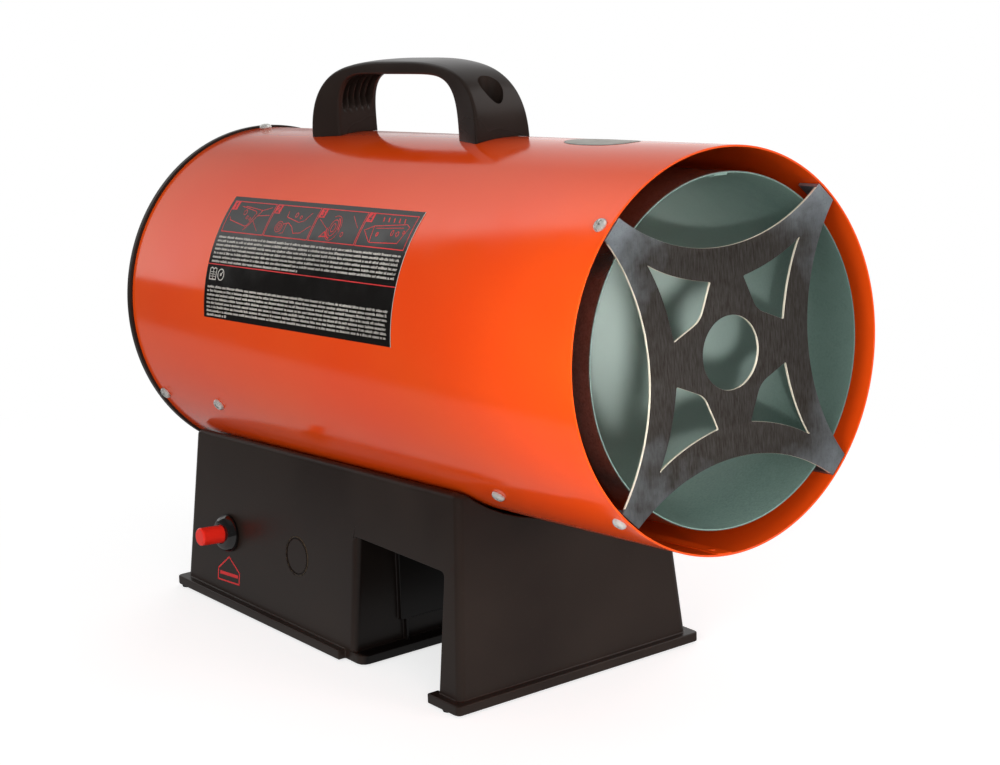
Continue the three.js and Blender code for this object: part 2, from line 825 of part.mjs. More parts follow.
// A rounded rectangle in plan whose walls lean in by their drafts, at a height that can vary along y.
function planRing(heightAt, inset, corner, halfWidth, front, rear, drafts) {
  const ring = [];
  for (const [signX, signY, start] of [[1, -1, -0.5], [1, 1, 0], [-1, 1, 0.5], [-1, -1, 1]]) {
    for (const [cos, sin] of arc(0, 0, 1, start * Math.PI, (start + 0.5) * Math.PI, 3)) {
      const end = signY < 0 ? front : rear;
      const height = heightAt(end);
      const x = signX * (halfWidth - inset - corner - height * Math.tan(drafts[0])) + corner * cos;
      const y = end - signY * (inset + corner + height * Math.tan(drafts[1])) + corner * sin;
      ring.push([x, y, heightAt(y)]);
    }
  }
  return ring;
}

function shoulderAt(place) {
  return shoulderFront + ((shoulderRear - shoulderFront) * (place - bodyFront)) / bodyLength;
}

function bodyLoft(wall, front, rear, drafts) {
  const levels = [
    [() => (wall ? -overrun : 0), 0],
    [(place) => shoulderAt(place) - wall - shoulderRound, 0],
    [(place) => shoulderAt(place) - wall - shoulderRound / 3, shoulderRound / 3],
    [(place) => shoulderAt(place) - wall, shoulderRound],
  ];
  return loft(levels.map(([heightAt, inset]) => planRing(heightAt, inset + wall, bodyCorner, bodyHalfWidth,
    front, rear, drafts)));
}

function tubeCutter(radius) {
  return rod(radius, -casingLength, 2 * casingLength, drumSteps).applyMatrix4(tubePlace);
}

const valvePlace = new THREE.Vector3(-flankAt(buttonHeight), bodyRear - buttonFromRear, buttonHeight);
const valveTurn = sideDraft - Math.PI / 2;
const valveMatrix = new THREE.Matrix4().makeRotationY(valveTurn).setPosition(valvePlace);

function fromValve(x, y, z) {
  return new THREE.Vector3(x, y, z).applyMatrix4(valveMatrix).toArray();
}

const inletCentre = fromValve(0, 0, -inletDepth);
const padFace = (height) => rearAt(height - rearPadRadius) + rearPadProud;
const inletFace = padFace(inletCentre[2]);
const rockerFace = padFace(rockerHeight);
const glandFace = padFace(glandHeight);
const plateTop = bottomRise + bottomSheet;
const bossPlaces = [
  compartmentStart + bodyWall + plateBoss - gap,
  rearAt(plateBossRise) - bodyWall - plateBoss + gap,
];
const footPlaces = [-1, 1].flatMap((side) => [-1, 1].map((end) => [
  side * (bodyHalfWidth + flangeOut - footRadius - gap),
  end < 0 ? bodyFront + legDepth / 2 : bodyRear + flangeOut - flangeCorner - footRadius,
]));

function housingShell() {
  const noDraft = [0, 0];
  const bothDrafts = [sideDraft, endDraft];
  const body = bodyLoft(0, bodyFront, bodyRear, bothDrafts);
  const flange = loft([0, flangeHeight].map((height) => planRing(() => height, 0, flangeCorner,
    bodyHalfWidth + flangeOut, bodyFront - flangeOut, bodyRear + flangeOut, noDraft)));
  const wide = bodyHalfWidth + flangeOut + overrun;
  const archBack = archStart + archLength;
  const flangeBreak = solidOf(block([-wide, archStart + flangePastLeg, -overrun],
    [wide, archBack + flangeShortOfArch, flangeHeight + overrun]));
  const trimmedFlange = solidOf(flange).subtract(flangeBreak);
  const bare = solidOf(body).subtract(solidOf(tubeCutter(saddleRadius)));

  const room = solidOf(bodyLoft(bodyWall, bodyFront, bodyRear, bothDrafts));
  const between = (from, to) => solidOf(block([-bodyHalfWidth, from, -2 * overrun],
    [bodyHalfWidth, to, shoulderFront + overrun]));
  // The compartment runs on past the back wall, so that only its front corners are rounded.
  const pastBody = bodyRear + 2 * compartmentCorner;
  const compartment = (wall) => solidOf(loft([-2 * overrun, shoulderFront + overrun].map((height) =>
    planRing(() => height, wall, compartmentCorner - wall, bodyHalfWidth, compartmentStart, pastBody,
      [sideDraft, 0]))));
  const hollow = between(bodyFront, archStart - bodyWall)
    .add(between(archStart, compartmentStart))
    .add(compartment(bodyWall))
    .intersect(room)
    .subtract(solidOf(tubeCutter(saddleRadius + bodyWall)));

  const archOutline = [
    [archStart - legLean, -overrun],
    [archBack, -overrun],
    ...arc(archBack - archCorner, archHeight - archCorner, archCorner, 0, Math.PI / 2, 3),
    ...arc(archStart + archCorner, archHeight - archCorner, archCorner, Math.PI / 2, Math.PI, 3),
  ];
  const arch = solidOf(prism("x", archOutline, -wide, wide)).subtract(compartment(0));
  const lip = solidOf(loft([0, flangeHeight].map((height) => planRing(() => height, 0, compartmentLipCorner,
    bodyHalfWidth, compartmentStart - compartmentLip, archBack + flangeShortOfArch, noDraft))));
  return bare.subtract(arch).add(trimmedFlange).subtract(hollow).add(lip.subtract(compartment(bodyWall)));
}

// Bosses, the raised panel on the compartment's front wall and the flat pads at the back.
function housingBosses() {
  const [panelFront, panelBack] = [compartmentStart - panelDepth, compartmentStart + gap];
  const panel = block([-panelHalf, panelFront, panelLow], [panelHalf, panelBack, panelTop]);
  const ribs = [-1, 1].map((side) => block([-panelRib / 2, panelFront, flangeHeight - gap],
    [panelRib / 2, panelBack, panelLow + gap]).translate(side * (panelHalf - panelRibInset), 0, 0));
  const plateBosses = bossPlaces.map((place) =>
    upright(rod(plateBoss, plateTop + gap, plateBossRise, smallSteps)).translate(0, place, 0));
  const pads = [[inletCentre[0], inletCentre[2]], [glandSide, glandHeight]].map(([x, z]) =>
    rod(rearPadRadius, rearAt(z + rearPadRadius) - bodyWall, padFace(z)).translate(x, 0, z));
  const [padX, padZ] = [rockerFrameX + gap, rockerFrameZ + gap];
  const rockerPad = block(
    [rockerSide - padX, rearAt(rockerHeight + rockerFrameZ) - bodyWall, rockerHeight - padZ],
    [rockerSide + padX, rockerFace, rockerHeight + padZ],
  );
  const low = -casingRadius - boltBossDepth;
  const boss = upright(rod(boltBoss, -low - 2 * boltBossDepth, -low));
  const boltBosses = boltPlaces.map((along) => onTube(boss.clone(), Math.PI, along).applyMatrix4(tubePlace));
  const seat = solidOf(tubeCutter(casingRadius + gap));
  return [panel, ...ribs, ...plateBosses, ...pads, rockerPad, ...boltBosses]
    .map((shape) => solidOf(shape).subtract(seat));
}

function housingHoles() {
  const rearHole = (radius, x, z) =>
    rod(radius, rearAt(z) - 4 * bodyWall, bodyRear + overrun).translate(x, 0, z);
  const neck = upright(rod(neckRadius + gap, -bodyWall - overrun, overrun)).applyMatrix4(valveMatrix);
  const knockoutTurn = new THREE.Matrix4().makeRotationY(valveTurn).setPosition(
    -flankAt(buttonHeight + knockoutRise),
    bodyRear - buttonFromRear - knockoutForward,
    buttonHeight + knockoutRise,
  );
  const knockout = upright(sleeve(knockoutRadius - knockoutGroove, knockoutRadius, -knockoutDepth, overrun));
  const shaftEnd = casingRadius + boltBossDepth + overrun;
  const shaft = upright(rod(boltShank + gap, casingRadius - overrun, shaftEnd, smallSteps));
  const bolts = boltPlaces.map((along) => onTube(shaft.clone(), Math.PI, along).applyMatrix4(tubePlace));
  const grommetEnd = -casingRadius - 2 * boltBossDepth;
  const grommet = prism("z", grommetOutline(grommetHalfX, grommetHalfY), grommetEnd, 0);
  const stems = footPlaces.map(([x, y]) =>
    upright(rod(footStem + gap, -overrun, footStemRise + gap, smallSteps)).translate(x, y, 0));
  const screwEnd = plateBossRise - bodyWall;
  const plateScrews = bossPlaces.map((place) =>
    upright(rod(screwShankRadius + gap, -overrun, screwEnd, smallSteps)).translate(0, place, 0));
  const [openX, openZ] = [rockerCellX + rockerLip + gap, rockerCellZ + rockerLip + gap];
  const rocker = block(
    [rockerSide - openX, rearAt(rockerHeight) - 4 * bodyWall, rockerHeight - openZ],
    [rockerSide + openX, bodyRear + overrun, rockerHeight + openZ],
  );
  return [
    neck,
    knockout.applyMatrix4(knockoutTurn),
    grommet.applyMatrix4(tubePlace),
    rocker,
    ...bolts,
    ...stems,
    ...plateScrews,
    rearHole(inletRadius + gap, inletCentre[0], inletCentre[2]),
    rearHole(glandBody + gap, glandSide, glandHeight),
  ].map(solidOf);
}

function addBase() {
  const filled = housingBosses().reduce((whole, part) => whole.add(part), housingShell());
  const housing = housingHoles().reduce((whole, part) => whole.subtract(part), filled);
  piece(stand, "base_housing", "charcoal", geometryOf(housing));

  const half = flankAt(plateTop) - bodyWall - gap;
  const front = compartmentStart + bodyWall + gap;
  const back = rearAt(plateTop) - bodyWall - gap;
  const turnIn = compartmentCorner - bodyWall;
  const plate = prism("z", [
    ...arc(half - bodyCorner, back - bodyCorner, bodyCorner, 0, Math.PI / 2, 3),
    ...arc(bodyCorner - half, back - bodyCorner, bodyCorner, Math.PI / 2, Math.PI, 3),
    ...arc(turnIn - half, front + turnIn, turnIn, Math.PI, 1.5 * Math.PI, 3),
    ...arc(half - turnIn, front + turnIn, turnIn, 1.5 * Math.PI, 2 * Math.PI, 3),
  ], bottomRise, plateTop);
  const bores = bossPlaces.map((place) =>
    upright(rod(screwShankRadius + gap, -overrun, plateTop + overrun, smallSteps)).translate(0, place, 0));
  piece(stand, "bottom_plate", "galvanised", cut(plate, ...bores));
  bossPlaces.forEach((place, i) => {
    const shank = plateBossRise - bodyWall - gap;
    const screw = upright(turned([
      [0, bottomRise - gap - bottomSheet],
      [screwHeadRadius, bottomRise - gap - bottomSheet],
      [screwHeadRadius, bottomRise - gap],
      [screwShankRadius, bottomRise - gap],
      [screwShankRadius, shank],
      [0, shank],
    ], smallSteps));
    piece(stand, `plate_screw_${i + 1}`, "zinc", screw).position.y = place;
  });
  footPlaces.forEach(([x, y], i) => {
    const foot = upright(turned([
      [0, -footHeight],
      [footRadius, -footHeight],
      [footRadius, -gap / 2],
      [footStem, -gap / 2],
      [footStem, footStemRise],
      [0, footStemRise],
    ], smallSteps));
    piece(stand, `foot_${i + 1}`, "rubber", foot).position.set(x, y, 0);
  });
  boltPlaces.forEach((along, i) => {
    const bolt = upright(turned([
      [0, casingRadius + boltBossDepth],
      [boltShank, casingRadius + boltBossDepth],
      [boltShank, casingInner - gap],
      [boltHead, casingInner - gap],
      [boltHead, casingInner - gap - boltHeadDepth],
      [0, casingInner - gap - boltHeadDepth],
    ].reverse(), smallSteps));
    piece(tube, `casing_bolt_${i + 1}`, "zinc", onTube(bolt, Math.PI, along));
  });
}

function addValve() {
  const control = new THREE.Group();
  control.position.copy(valvePlace);
  control.rotation.y = valveTurn;
  stand.add(control);
  const buttonBack = neckOut + gap - buttonCollarDepth;
  const boreRadius = buttonCollar + gap;
  const spindleEnd = -springSeat - buttonTravel - overrun;
  const boreEnd = spindleEnd - buttonTravel - gap;
  const flankInside = -bodyWall - gap;
  const body = upright(turned([
    [0, -valveDepth],
    [valveRadius, -valveDepth],
    [valveRadius, flankInside],
    [neckRadius, flankInside],
    [neckRadius, neckOut],
    [boreRadius, neckOut],
    [boreRadius, -springSeat],
    [spindleRadius + gap, -springSeat],
    [spindleRadius + gap, boreEnd],
    [0, boreEnd],
  ]));
  const port = (hole) => (hole
    ? rod(pipeRadius + gap, portReach - portDepth, portReach + overrun)
    : rod(portRadius, valveRadius - portDepth, portReach));
  const outlet = (hole) => sideways(port(hole)).translate(0, 0, -outletDepth);
  const inlet = (hole) => port(hole).translate(0, 0, -inletDepth);
  const whole = joined(body, outlet(false), inlet(false));
  piece(control, "gas_valve", "brass", cut(whole, outlet(true), inlet(true)));

  piece(control, "button_bezel", "gloss", upright(turned([
    [neckRadius + gap, gap],
    [bezelRadius, gap],
    [bezelRadius, bezelDepth - bezelLip],
    [bezelRadius - bezelLip, bezelDepth],
    [buttonRadius + gap, bezelDepth],
    [buttonRadius + gap, bezelDepth - bezelLip + gap],
    [neckRadius + gap, bezelDepth - bezelLip + gap],
    [neckRadius + gap, gap],
  ])));
  const socket = buttonBack + spindleGrip;
  piece(control, "push_button", "red", upright(turned([
    [spindleRadius + gap, buttonBack],
    [buttonCollar, buttonBack],
    [buttonCollar, buttonBack + buttonCollarDepth - gap],
    [buttonRadius, buttonBack + buttonCollarDepth - gap],
    [buttonRadius, buttonOut - bezelLip],
    [buttonRadius - bezelLip, buttonOut],
    [0, buttonOut],
    [0, socket],
    [spindleRadius + gap, socket],
    [spindleRadius + gap, buttonBack],
  ])));
  piece(control, "valve_spindle", "zinc", upright(rod(spindleRadius, spindleEnd, socket - gap, smallSteps)));

  const [springLow, springHigh] = [-springSeat + gap + springWire, buttonBack - gap - springWire];
  const steps = curlSteps * springCurls;
  const helix = Array.from({ length: steps + 1 }, (_, i) => [
    springRadius * Math.cos((i * 2 * Math.PI) / curlSteps),
    springRadius * Math.sin((i * 2 * Math.PI) / curlSteps),
    springLow + ((springHigh - springLow) * i) / steps,
  ]);
  piece(control, "return_spring", "zinc", bar(helix, springWire, steps, springSides));
  const between = helix.flatMap((point, i) => helix.slice(i + curlSteps).map((other) =>
    new THREE.Vector3(...point).distanceTo(new THREE.Vector3(...other))));
  console.log("least gap between the spring's curls, mm:", Math.min(...between) - 2 * springWire);

  const seat = valveRadius + gap;
  const switchBack = gap - outletDepth + portRadius;
  piece(control, "microswitch", "charcoal", block([seat, -switchWidth / 2, switchBack],
    [seat + switchHeight, switchWidth / 2, switchBack + switchLength]));

  const end = inletFace - inletInner;
  const local = [inletCentre[0], 0, inletCentre[2]];
  const pipeStart = valvePlace.y + portReach - portDepth + gap;
  piece(stand, "inlet_pipe", "copper", turned([
    [pipeBore, pipeStart],
    [pipeRadius, pipeStart],
    [pipeRadius, end - gap - portDepth],
    [inletNut, end - gap - portDepth],
    [inletNut, end - gap - portDepth + inletNutDepth],
    [inletRadius + gap, end - gap - portDepth + inletNutDepth],
    [inletRadius + gap, end - gap],
    [pipeBore, end - gap],
    [pipeBore, pipeStart],
  ]).translate(...local));
  const stub = turned([
    [inletBore, end],
    [inletRadius, end],
    [inletRadius, inletFace + gap + inletHexDepth + inletNipple],
    [inletBore, inletFace + gap + inletHexDepth + inletNipple],
    [inletBore, end],
  ]);
  const hexFront = inletFace + gap;
  const hex = sleeve((inletBore + inletRadius) / 2, inletHex, hexFront, hexFront + inletHexDepth, 6);
  piece(stand, "gas_inlet_fitting", "brass", joined(stub, hex).translate(...local));
}

function addRearControls() {
  const frontZ = rockerFrameDepth;
  const pivot = new THREE.Group();
  pivot.position.set(rockerSide, rockerFace + frontZ - rockerPivotDepth, rockerHeight);
  stand.add(pivot);
  const seat = gap - frontZ + rockerPivotDepth;
  const frame = block([-rockerFrameX, seat, -rockerFrameZ],
    [rockerFrameX, seat + frontZ - gap, rockerFrameZ]);
  const bodyX = rockerCellX + rockerLip;
  const bodyZ = rockerCellZ + rockerLip;
  const body = block([-bodyX, seat - rockerBodyDepth, -bodyZ], [bodyX, seat + gap, bodyZ]);
  const cell = block([-rockerCellX, -rockerCellDepth, -rockerCellZ],
    [rockerCellX, frontZ + overrun, rockerCellZ]);
  const pinEnd = rockerCellX + rockerPinReach;
  const pinHole = sideways(rod(rockerPin + gap, -pinEnd, pinEnd, smallSteps));
  piece(pivot, "rocker_housing", "charcoal", cut(joined(frame, body), cell, pinHole));
  const crown = rockerThick + rockerHalf * Math.tan(rockerSwing);
  const outline = [
    [-rockerThick, -rockerHalf * rockerHeelShare],
    [0, -rockerHalf],
    [crown, -rockerHalf],
    [rockerThick, 0],
    [crown, rockerHalf],
    [0, rockerHalf],
    [-rockerThick, rockerHalf * rockerHeelShare],
  ];
  const wide = rockerCellX - gap;
  const rocker = prism("x", outline, -wide, wide);
  const pin = sideways(rod(rockerPin, gap - pinEnd, pinEnd - gap, smallSteps));
  piece(pivot, "power_rocker", "red", joined(rocker, pin)).rotation.x = rockerSwing;

  piece(stand, "cable_gland", "rubber", turned([
    [glandBore, glandFace - glandIn],
    [glandBody, glandFace - glandIn],
    [glandBody, glandFace + gap],
    [glandFlange, glandFace + gap],
    [glandFlange, glandFace + glandOut / 2],
    [glandBody, glandFace + glandOut],
    [glandBore, glandFace + glandOut],
    [glandBore, glandFace - glandIn],
  ])).position.set(glandSide, 0, glandHeight);
}

function addLeads() {
  const rim = -casingRadius - saddleGap - bodyWall;
  const brimSeat = gap - Math.sqrt((casingInner - gap) ** 2 - (grommetHalfX + grommetFlange) ** 2);
  const brimTop = brimSeat + grommetFlangeDepth;
  const plug = prism("z", grommetOutline(grommetHalfX - gap, grommetHalfY - gap), rim, brimTop - gap);
  const brim = prism("z", grommetOutline(grommetHalfX + grommetFlange, grommetHalfY + grommetFlange),
    brimSeat, brimTop);
  const leads = [[0, pipeRadius], [leadSpacing, leadRadius], [-leadSpacing, capillaryRadius]];
  const bores = leads.map(([x, radius]) =>
    upright(rod(radius + gap, rim - overrun, brimTop + overrun, smallSteps)).translate(x, grommetAlong, 0));
  piece(tube, "grommet", "rubber", cut(joined(plug, brim), ...bores));

  const pass = (x) => [brimTop + 2 * pipeRadius, brimTop + pipeRadius / 2, rim, rim - overrun]
    .map((z) => fromTube(x, grommetAlong, z));
  const nozzleBack = barFront + barSheet + gap + nozzleHexDepth + nozzleTailDepth + gap;
  const outletTop = fromValve(portReach, 0, -outletDepth);
  const outletEnd = fromValve(portReach - portDepth + gap, 0, -outletDepth);
  const saddleRoom = fromTube(0, grommetAlong, rim - 2 * pipeRadius);
  const bendPlace = THREE.MathUtils.lerp(saddleRoom[1], outletTop[1], pipeBendShare);
  piece(stand, "burner_pipe", "copper", bar([
    fromTube(0, nozzleBack, 0),
    fromTube(0, nozzleBack + pipeRadius, 0),
    fromTube(0, grommetAlong - pipeRadius / 2, -2 * pipeRadius),
    fromTube(0, grommetAlong, -5 * pipeRadius),
    ...pass(0),
    [saddleRoom[0], saddleRoom[1] + pipeRadius, saddleRoom[2] - pipeRadius],
    [outletTop[0] / 3, bendPlace, outletTop[2] + pipeRadius],
    fromValve(portReach + 2.5 * pipeRadius, -2 * pipeRadius, -outletDepth),
    fromValve(portReach + pipeRadius, 0, -outletDepth),
    fromValve(portReach, 0, -outletDepth),
    outletEnd,
  ], pipeRadius, 44, 8));

  const moduleMiddle = compartmentStart + moduleFromFront;
  const moduleTop = plateTop + gap + moduleHeight;
  const electrodeBack = barFront + barSheet + insulatorBack + 2 * gap;
  piece(stand, "ignition_lead", "rubber", bar([
    fromTube(probeOffset, electrodeBack, 0),
    fromTube(probeOffset, electrodeBack + 2 * leadRadius, 0),
    fromTube((probeOffset + leadSpacing) / 2, grommetAlong, -casingInner / 2),
    ...pass(leadSpacing),
    [moduleSide - leadRadius, moduleMiddle, moduleTop + 8 * leadRadius],
    [moduleSide, moduleMiddle, moduleTop + 4 * leadRadius],
    [moduleSide, moduleMiddle, moduleTop + gap],
  ], leadRadius, 34, 6));

  const nutFront = barFront + barSheet + gap;
  const probe = turned([
    [0, barFront - probeFront],
    [probeRadius, barFront - probeFront + probeRadius],
    [probeRadius, nutFront],
    [probeNut, nutFront],
    [probeNut, nutFront + probeNutDepth],
    [0, nutFront + probeNutDepth],
  ], smallSteps).translate(-probeOffset, 0, 0).applyMatrix4(tubePlace);
  const valveBack = fromValve(0, 0, -valveDepth - gap);
  const capillary = bar([
    fromTube(-probeOffset, nutFront + probeNutDepth / 2, 0),
    fromTube(-probeOffset, nutFront + probeNutDepth + overrun, 0),
    fromTube(-(probeOffset + leadSpacing) / 2, grommetAlong, -casingInner / 2),
    ...pass(-leadSpacing),
    [valveBack[0] / 2, (valveBack[1] + saddleRoom[1]) / 2, valveBack[2] + 2 * pipeRadius],
    fromValve(0, 0, -valveDepth - 2 * pipeRadius),
    valveBack,
  ], capillaryRadius, 34, 6);
  piece(stand, "thermocouple", "copper", joined(probe, capillary));

  const standing = (name, finish, side, middle, width, length, height) => {
    piece(stand, name, finish, block([side - width / 2, middle - length / 2, plateTop + gap],
      [side + width / 2, middle + length / 2, plateTop + gap + height]));
  };
  standing("ignition_module", "gloss", moduleSide, moduleMiddle, moduleWidth, moduleLength, moduleHeight);
  standing("terminal_block", "ceramic", terminalSide, bodyRear - terminalFromRear,
    terminalWidth, terminalLength, terminalHeight);
}

addCasing();
addCombustionTube();
addFrontGuard();
addTubeScrews();
addRearGuard();
addMotor();
addFan();
addBurner();
addHandle();
addLabel();
addBase();
addValve();
addRearControls();
addLeads();

// The origin is under the middle of the whole heater, at the level of its feet.
heater.updateMatrixWorld(true);
const extent = new THREE.Box3().setFromObject(heater, true);
const middle = extent.getCenter(new THREE.Vector3());
stand.position.set(-middle.x, -middle.y, stand.position.z - extent.min.z);

export default heater;
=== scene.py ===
import math

import bmesh
import bpy
import numpy as np
from mathutils import Matrix, Vector
from mathutils.bvhtree import BVHTree


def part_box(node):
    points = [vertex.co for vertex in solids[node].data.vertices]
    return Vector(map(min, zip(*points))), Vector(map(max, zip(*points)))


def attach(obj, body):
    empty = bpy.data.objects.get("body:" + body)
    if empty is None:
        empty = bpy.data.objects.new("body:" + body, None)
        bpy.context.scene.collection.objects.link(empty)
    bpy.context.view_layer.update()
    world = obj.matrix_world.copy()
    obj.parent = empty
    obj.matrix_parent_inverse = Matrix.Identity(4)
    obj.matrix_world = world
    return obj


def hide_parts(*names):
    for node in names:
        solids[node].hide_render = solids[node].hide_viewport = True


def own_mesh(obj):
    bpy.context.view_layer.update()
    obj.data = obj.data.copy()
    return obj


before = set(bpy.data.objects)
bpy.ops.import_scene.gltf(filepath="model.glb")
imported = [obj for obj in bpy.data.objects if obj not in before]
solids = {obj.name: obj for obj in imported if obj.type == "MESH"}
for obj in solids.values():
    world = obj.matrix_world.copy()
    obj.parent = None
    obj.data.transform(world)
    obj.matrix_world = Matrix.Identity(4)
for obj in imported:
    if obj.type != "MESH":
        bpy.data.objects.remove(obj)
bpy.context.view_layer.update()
print("frame loaded:", len(solids), "solids")

casing = {"radius": 95.0, "sheet": 1.0, "length": 394.0, "facets": 256, "rimRound": 0.42,
          "seamAngle": 173.6, "seamWidth": 9.0, "seamDepth": 0.45, "seamSink": 0.2, "seamRound": 0.15,
          "seamFront": 0.4, "seamBack": 16.0, "weldAlong": 9.5, "weldRadius": 1.9, "weldShoulder": 1.7,
          "weldRim": 0.35, "weldHeight": 0.5}
tilt = math.radians(4)
axisHeight = 192.9  # of the front rim's centre
footHeight = 1.2
smoothTurn = 38  # in degrees: an edge that turns by less is shaded smooth
doubleReach = 1e-6  # in metres: points closer than this are one
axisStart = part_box("outer_casing")[0][1] * 1000 + casing["radius"] * math.sin(tilt)
innerRadius = casing["radius"] - casing["sheet"]


# The tube leans by the tilt: y = start + along cos t + z sin t, height = axis - along sin t + z cos t.
def tubePlace(points):
    x, along, up = np.asarray(points, float).reshape(-1, 3).T
    y = axisStart + along * math.cos(tilt) + up * math.sin(tilt)
    z = axisHeight - along * math.sin(tilt) + up * math.cos(tilt)
    return np.column_stack([x, y, z]) / 1000


# The tube's own turn from the top towards -X: x' = x cos a - z sin a, up' = x sin a + z cos a.
def aroundTube(points, angle, along=0.0):
    a = math.radians(angle)
    turn = np.array([[math.cos(a), 0, -math.sin(a)], [0, 1, 0], [math.sin(a), 0, math.cos(a)]])
    return np.asarray(points, float) @ turn.T + [0, along, 0]


# The base stands level: y = start + distance from the rim, height = height above the flange's underside.
def basePlace(points):
    x, along, up = np.asarray(points, float).reshape(-1, 3).T
    return np.column_stack([x, axisStart + along, footHeight + up]) / 1000


# Each corner P of a closed outline becomes the parabola (1-t)^2 S + 2t(1-t) P + t^2 E between points S and E
# that lie one radius before and after it, or a little under half of a side that is too short for that.
def softened(points, radius, steps=3, sideParts=2.01):
    points = np.asarray(points, float)
    before = np.roll(points, 1, 0) - points
    after = np.roll(points, -1, 0) - points
    radius = np.broadcast_to(radius, len(points))

    def reach(way):
        size = np.linalg.norm(way, axis=1)
        return way * (np.minimum(radius, size / sideParts) / size)[:, None]

    t = np.linspace(0, 1, steps + 1)[None, :, None]
    start, end = (points + reach(before))[:, None], (points + reach(after))[:, None]
    curve = (1 - t) ** 2 * start + 2 * t * (1 - t) * points[:, None] + t ** 2 * end
    return curve.reshape(-1, points.shape[1])


# The corners of a rectangle from (x, y) to (right, top).
def oblong(x, y, right, top):
    return [[x, y], [right, y], [right, top], [x, top]]


# One four-sided face between each point of a grid and its next neighbours. Each row closes on itself, and the
# last row joins the first where the rows close too.
def gridFaces(rows, columns, closeRows):
    i = np.arange(rows if closeRows else rows - 1)[:, None]
    j = np.arange(columns)[None, :]
    a = i * columns + j
    b = i * columns + (j + 1) % columns
    c = ((i + 1) % rows) * columns + (j + 1) % columns
    d = ((i + 1) % rows) * columns + j
    return np.stack([a, b, c, d], -1).reshape(-1, 4).tolist()


# A closed outline of (radius, along) pairs carried round the axis: x = -r sin a, up = r cos a.
def revolved(profile, steps, start=0.0, end=360.0):
    whole = abs(end - start) >= 360
    angle = np.radians(np.linspace(start, end, steps, endpoint=not whole))[:, None]
    radius, along = np.asarray(profile, float).T
    count = len(radius)
    level = np.broadcast_to(along, (steps, count))
    grid = np.stack([-np.sin(angle) * radius, level, np.cos(angle) * radius], -1)
    faces = gridFaces(steps, count, closeRows=whole)
    if not whole:
        faces += [list(range(count))[::-1], list(range((steps - 1) * count, steps * count))]
    return grid.reshape(-1, 3), faces


# The same round the tube's own axis, in its place.
def tubeRing(profile, steps, start=0.0, end=360.0):
    points, faces = revolved(profile, steps, start, end)
    return tubePlace(points), faces


# The same round an axis that stands up from the tube at an angle: the outline's along turns into height.
def tubeStud(profile, steps, angle, along, lift=0.0):
    points, faces = revolved(profile, steps)
    return tubePlace(aroundTube(points[:, [0, 2, 1]] + [0, 0, lift], angle, along)), faces


# Closed sections of equal length joined one to the next, with a flat face at each end.
def lofted(sections):
    sections = np.asarray(sections, float)
    rows, columns = sections.shape[:2]
    faces = gridFaces(rows, columns, closeRows=False)
    faces += [list(range(columns))[::-1], list(range((rows - 1) * columns, rows * columns))]
    return sections.reshape(-1, 3), faces


# A box between two corners.
def slab(low, high):
    x, y, z = zip(low, high)
    corners = [(x[a], y[b], z[c]) for c in (0, 1) for a, b in ((0, 0), (1, 0), (1, 1), (0, 1))]
    sides = [[0, 1, 5, 4], [1, 2, 6, 5], [2, 3, 7, 6], [3, 0, 4, 7]]
    return np.array(corners), [[3, 2, 1, 0], [4, 5, 6, 7]] + sides


# Smooth shading but for the edges that turn by more than the angle.
def smoothShade(mesh, angle=smoothTurn):
    mesh.shade_smooth()
    mesh.set_sharp_from_angle(angle=math.radians(angle))
    return mesh


# Joins double points and turns every face outwards before the shading.
def finishMesh(mesh, angle=smoothTurn):
    work = bmesh.new()
    work.from_mesh(mesh)
    bmesh.ops.remove_doubles(work, verts=work.verts, dist=doubleReach)
    bmesh.ops.recalc_face_normals(work, faces=work.faces)
    work.to_mesh(mesh)
    work.free()
    return smoothShade(mesh, angle)


# A mesh's points and faces, in the form that makePiece takes.
def shellOf(mesh):
    points = np.empty(len(mesh.vertices) * 3)
    mesh.vertices.foreach_get("co", points)
    return points.reshape(-1, 3), [list(polygon.vertices) for polygon in mesh.polygons]


# One object from closed shells of (points in metres, faces).
def makePiece(name, shells, material, body="body", instead=(), angle=smoothTurn):
    points, faces, first = [], [], 0
    for shellPoints, shellFaces in shells:
        points.append(np.asarray(shellPoints))
        faces += [[first + i for i in face] for face in shellFaces]
        first += len(shellPoints)
    mesh = bpy.data.meshes.new(name)
    mesh.from_pydata(np.concatenate(points).tolist(), [], faces)
    return place(name, finishMesh(mesh, angle), material, body, instead)


# Puts a mesh in the scene with its material and body, and hides the solids it stands for.
def place(name, mesh, material, body="body", instead=()):
    piece = bpy.data.objects.new(name, mesh)
    bpy.context.scene.collection.objects.link(piece)
    mesh.materials.clear()
    mesh.materials.append(material)
    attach(piece, body)
    if instead:
        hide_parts(*instead)
    return piece


# The mesh that a piece's modifiers give it, which takes the place of its own.
def bakedMesh(piece):
    mesh = bpy.data.meshes.new_from_object(piece.evaluated_get(bpy.context.evaluated_depsgraph_get()))
    piece.modifiers.clear()
    piece.data = mesh
    return mesh


# Takes closed shells out of a piece.
def carve(piece, shells, angle=smoothTurn):
    for number, (points, faces) in enumerate(shells):
        mesh = bpy.data.meshes.new(f"cutter{number}")
        mesh.from_pydata(np.asarray(points).tolist(), [], faces)
        cutter = bpy.data.objects.new("cutter", finishMesh(mesh))
        bpy.context.scene.collection.objects.link(cutter)
        change = piece.modifiers.new("carve", "BOOLEAN")
        change.operation = "DIFFERENCE"
        change.solver = "EXACT"
        change.object = cutter
        finishMesh(bakedMesh(piece), angle)
        bpy.data.objects.remove(cutter)


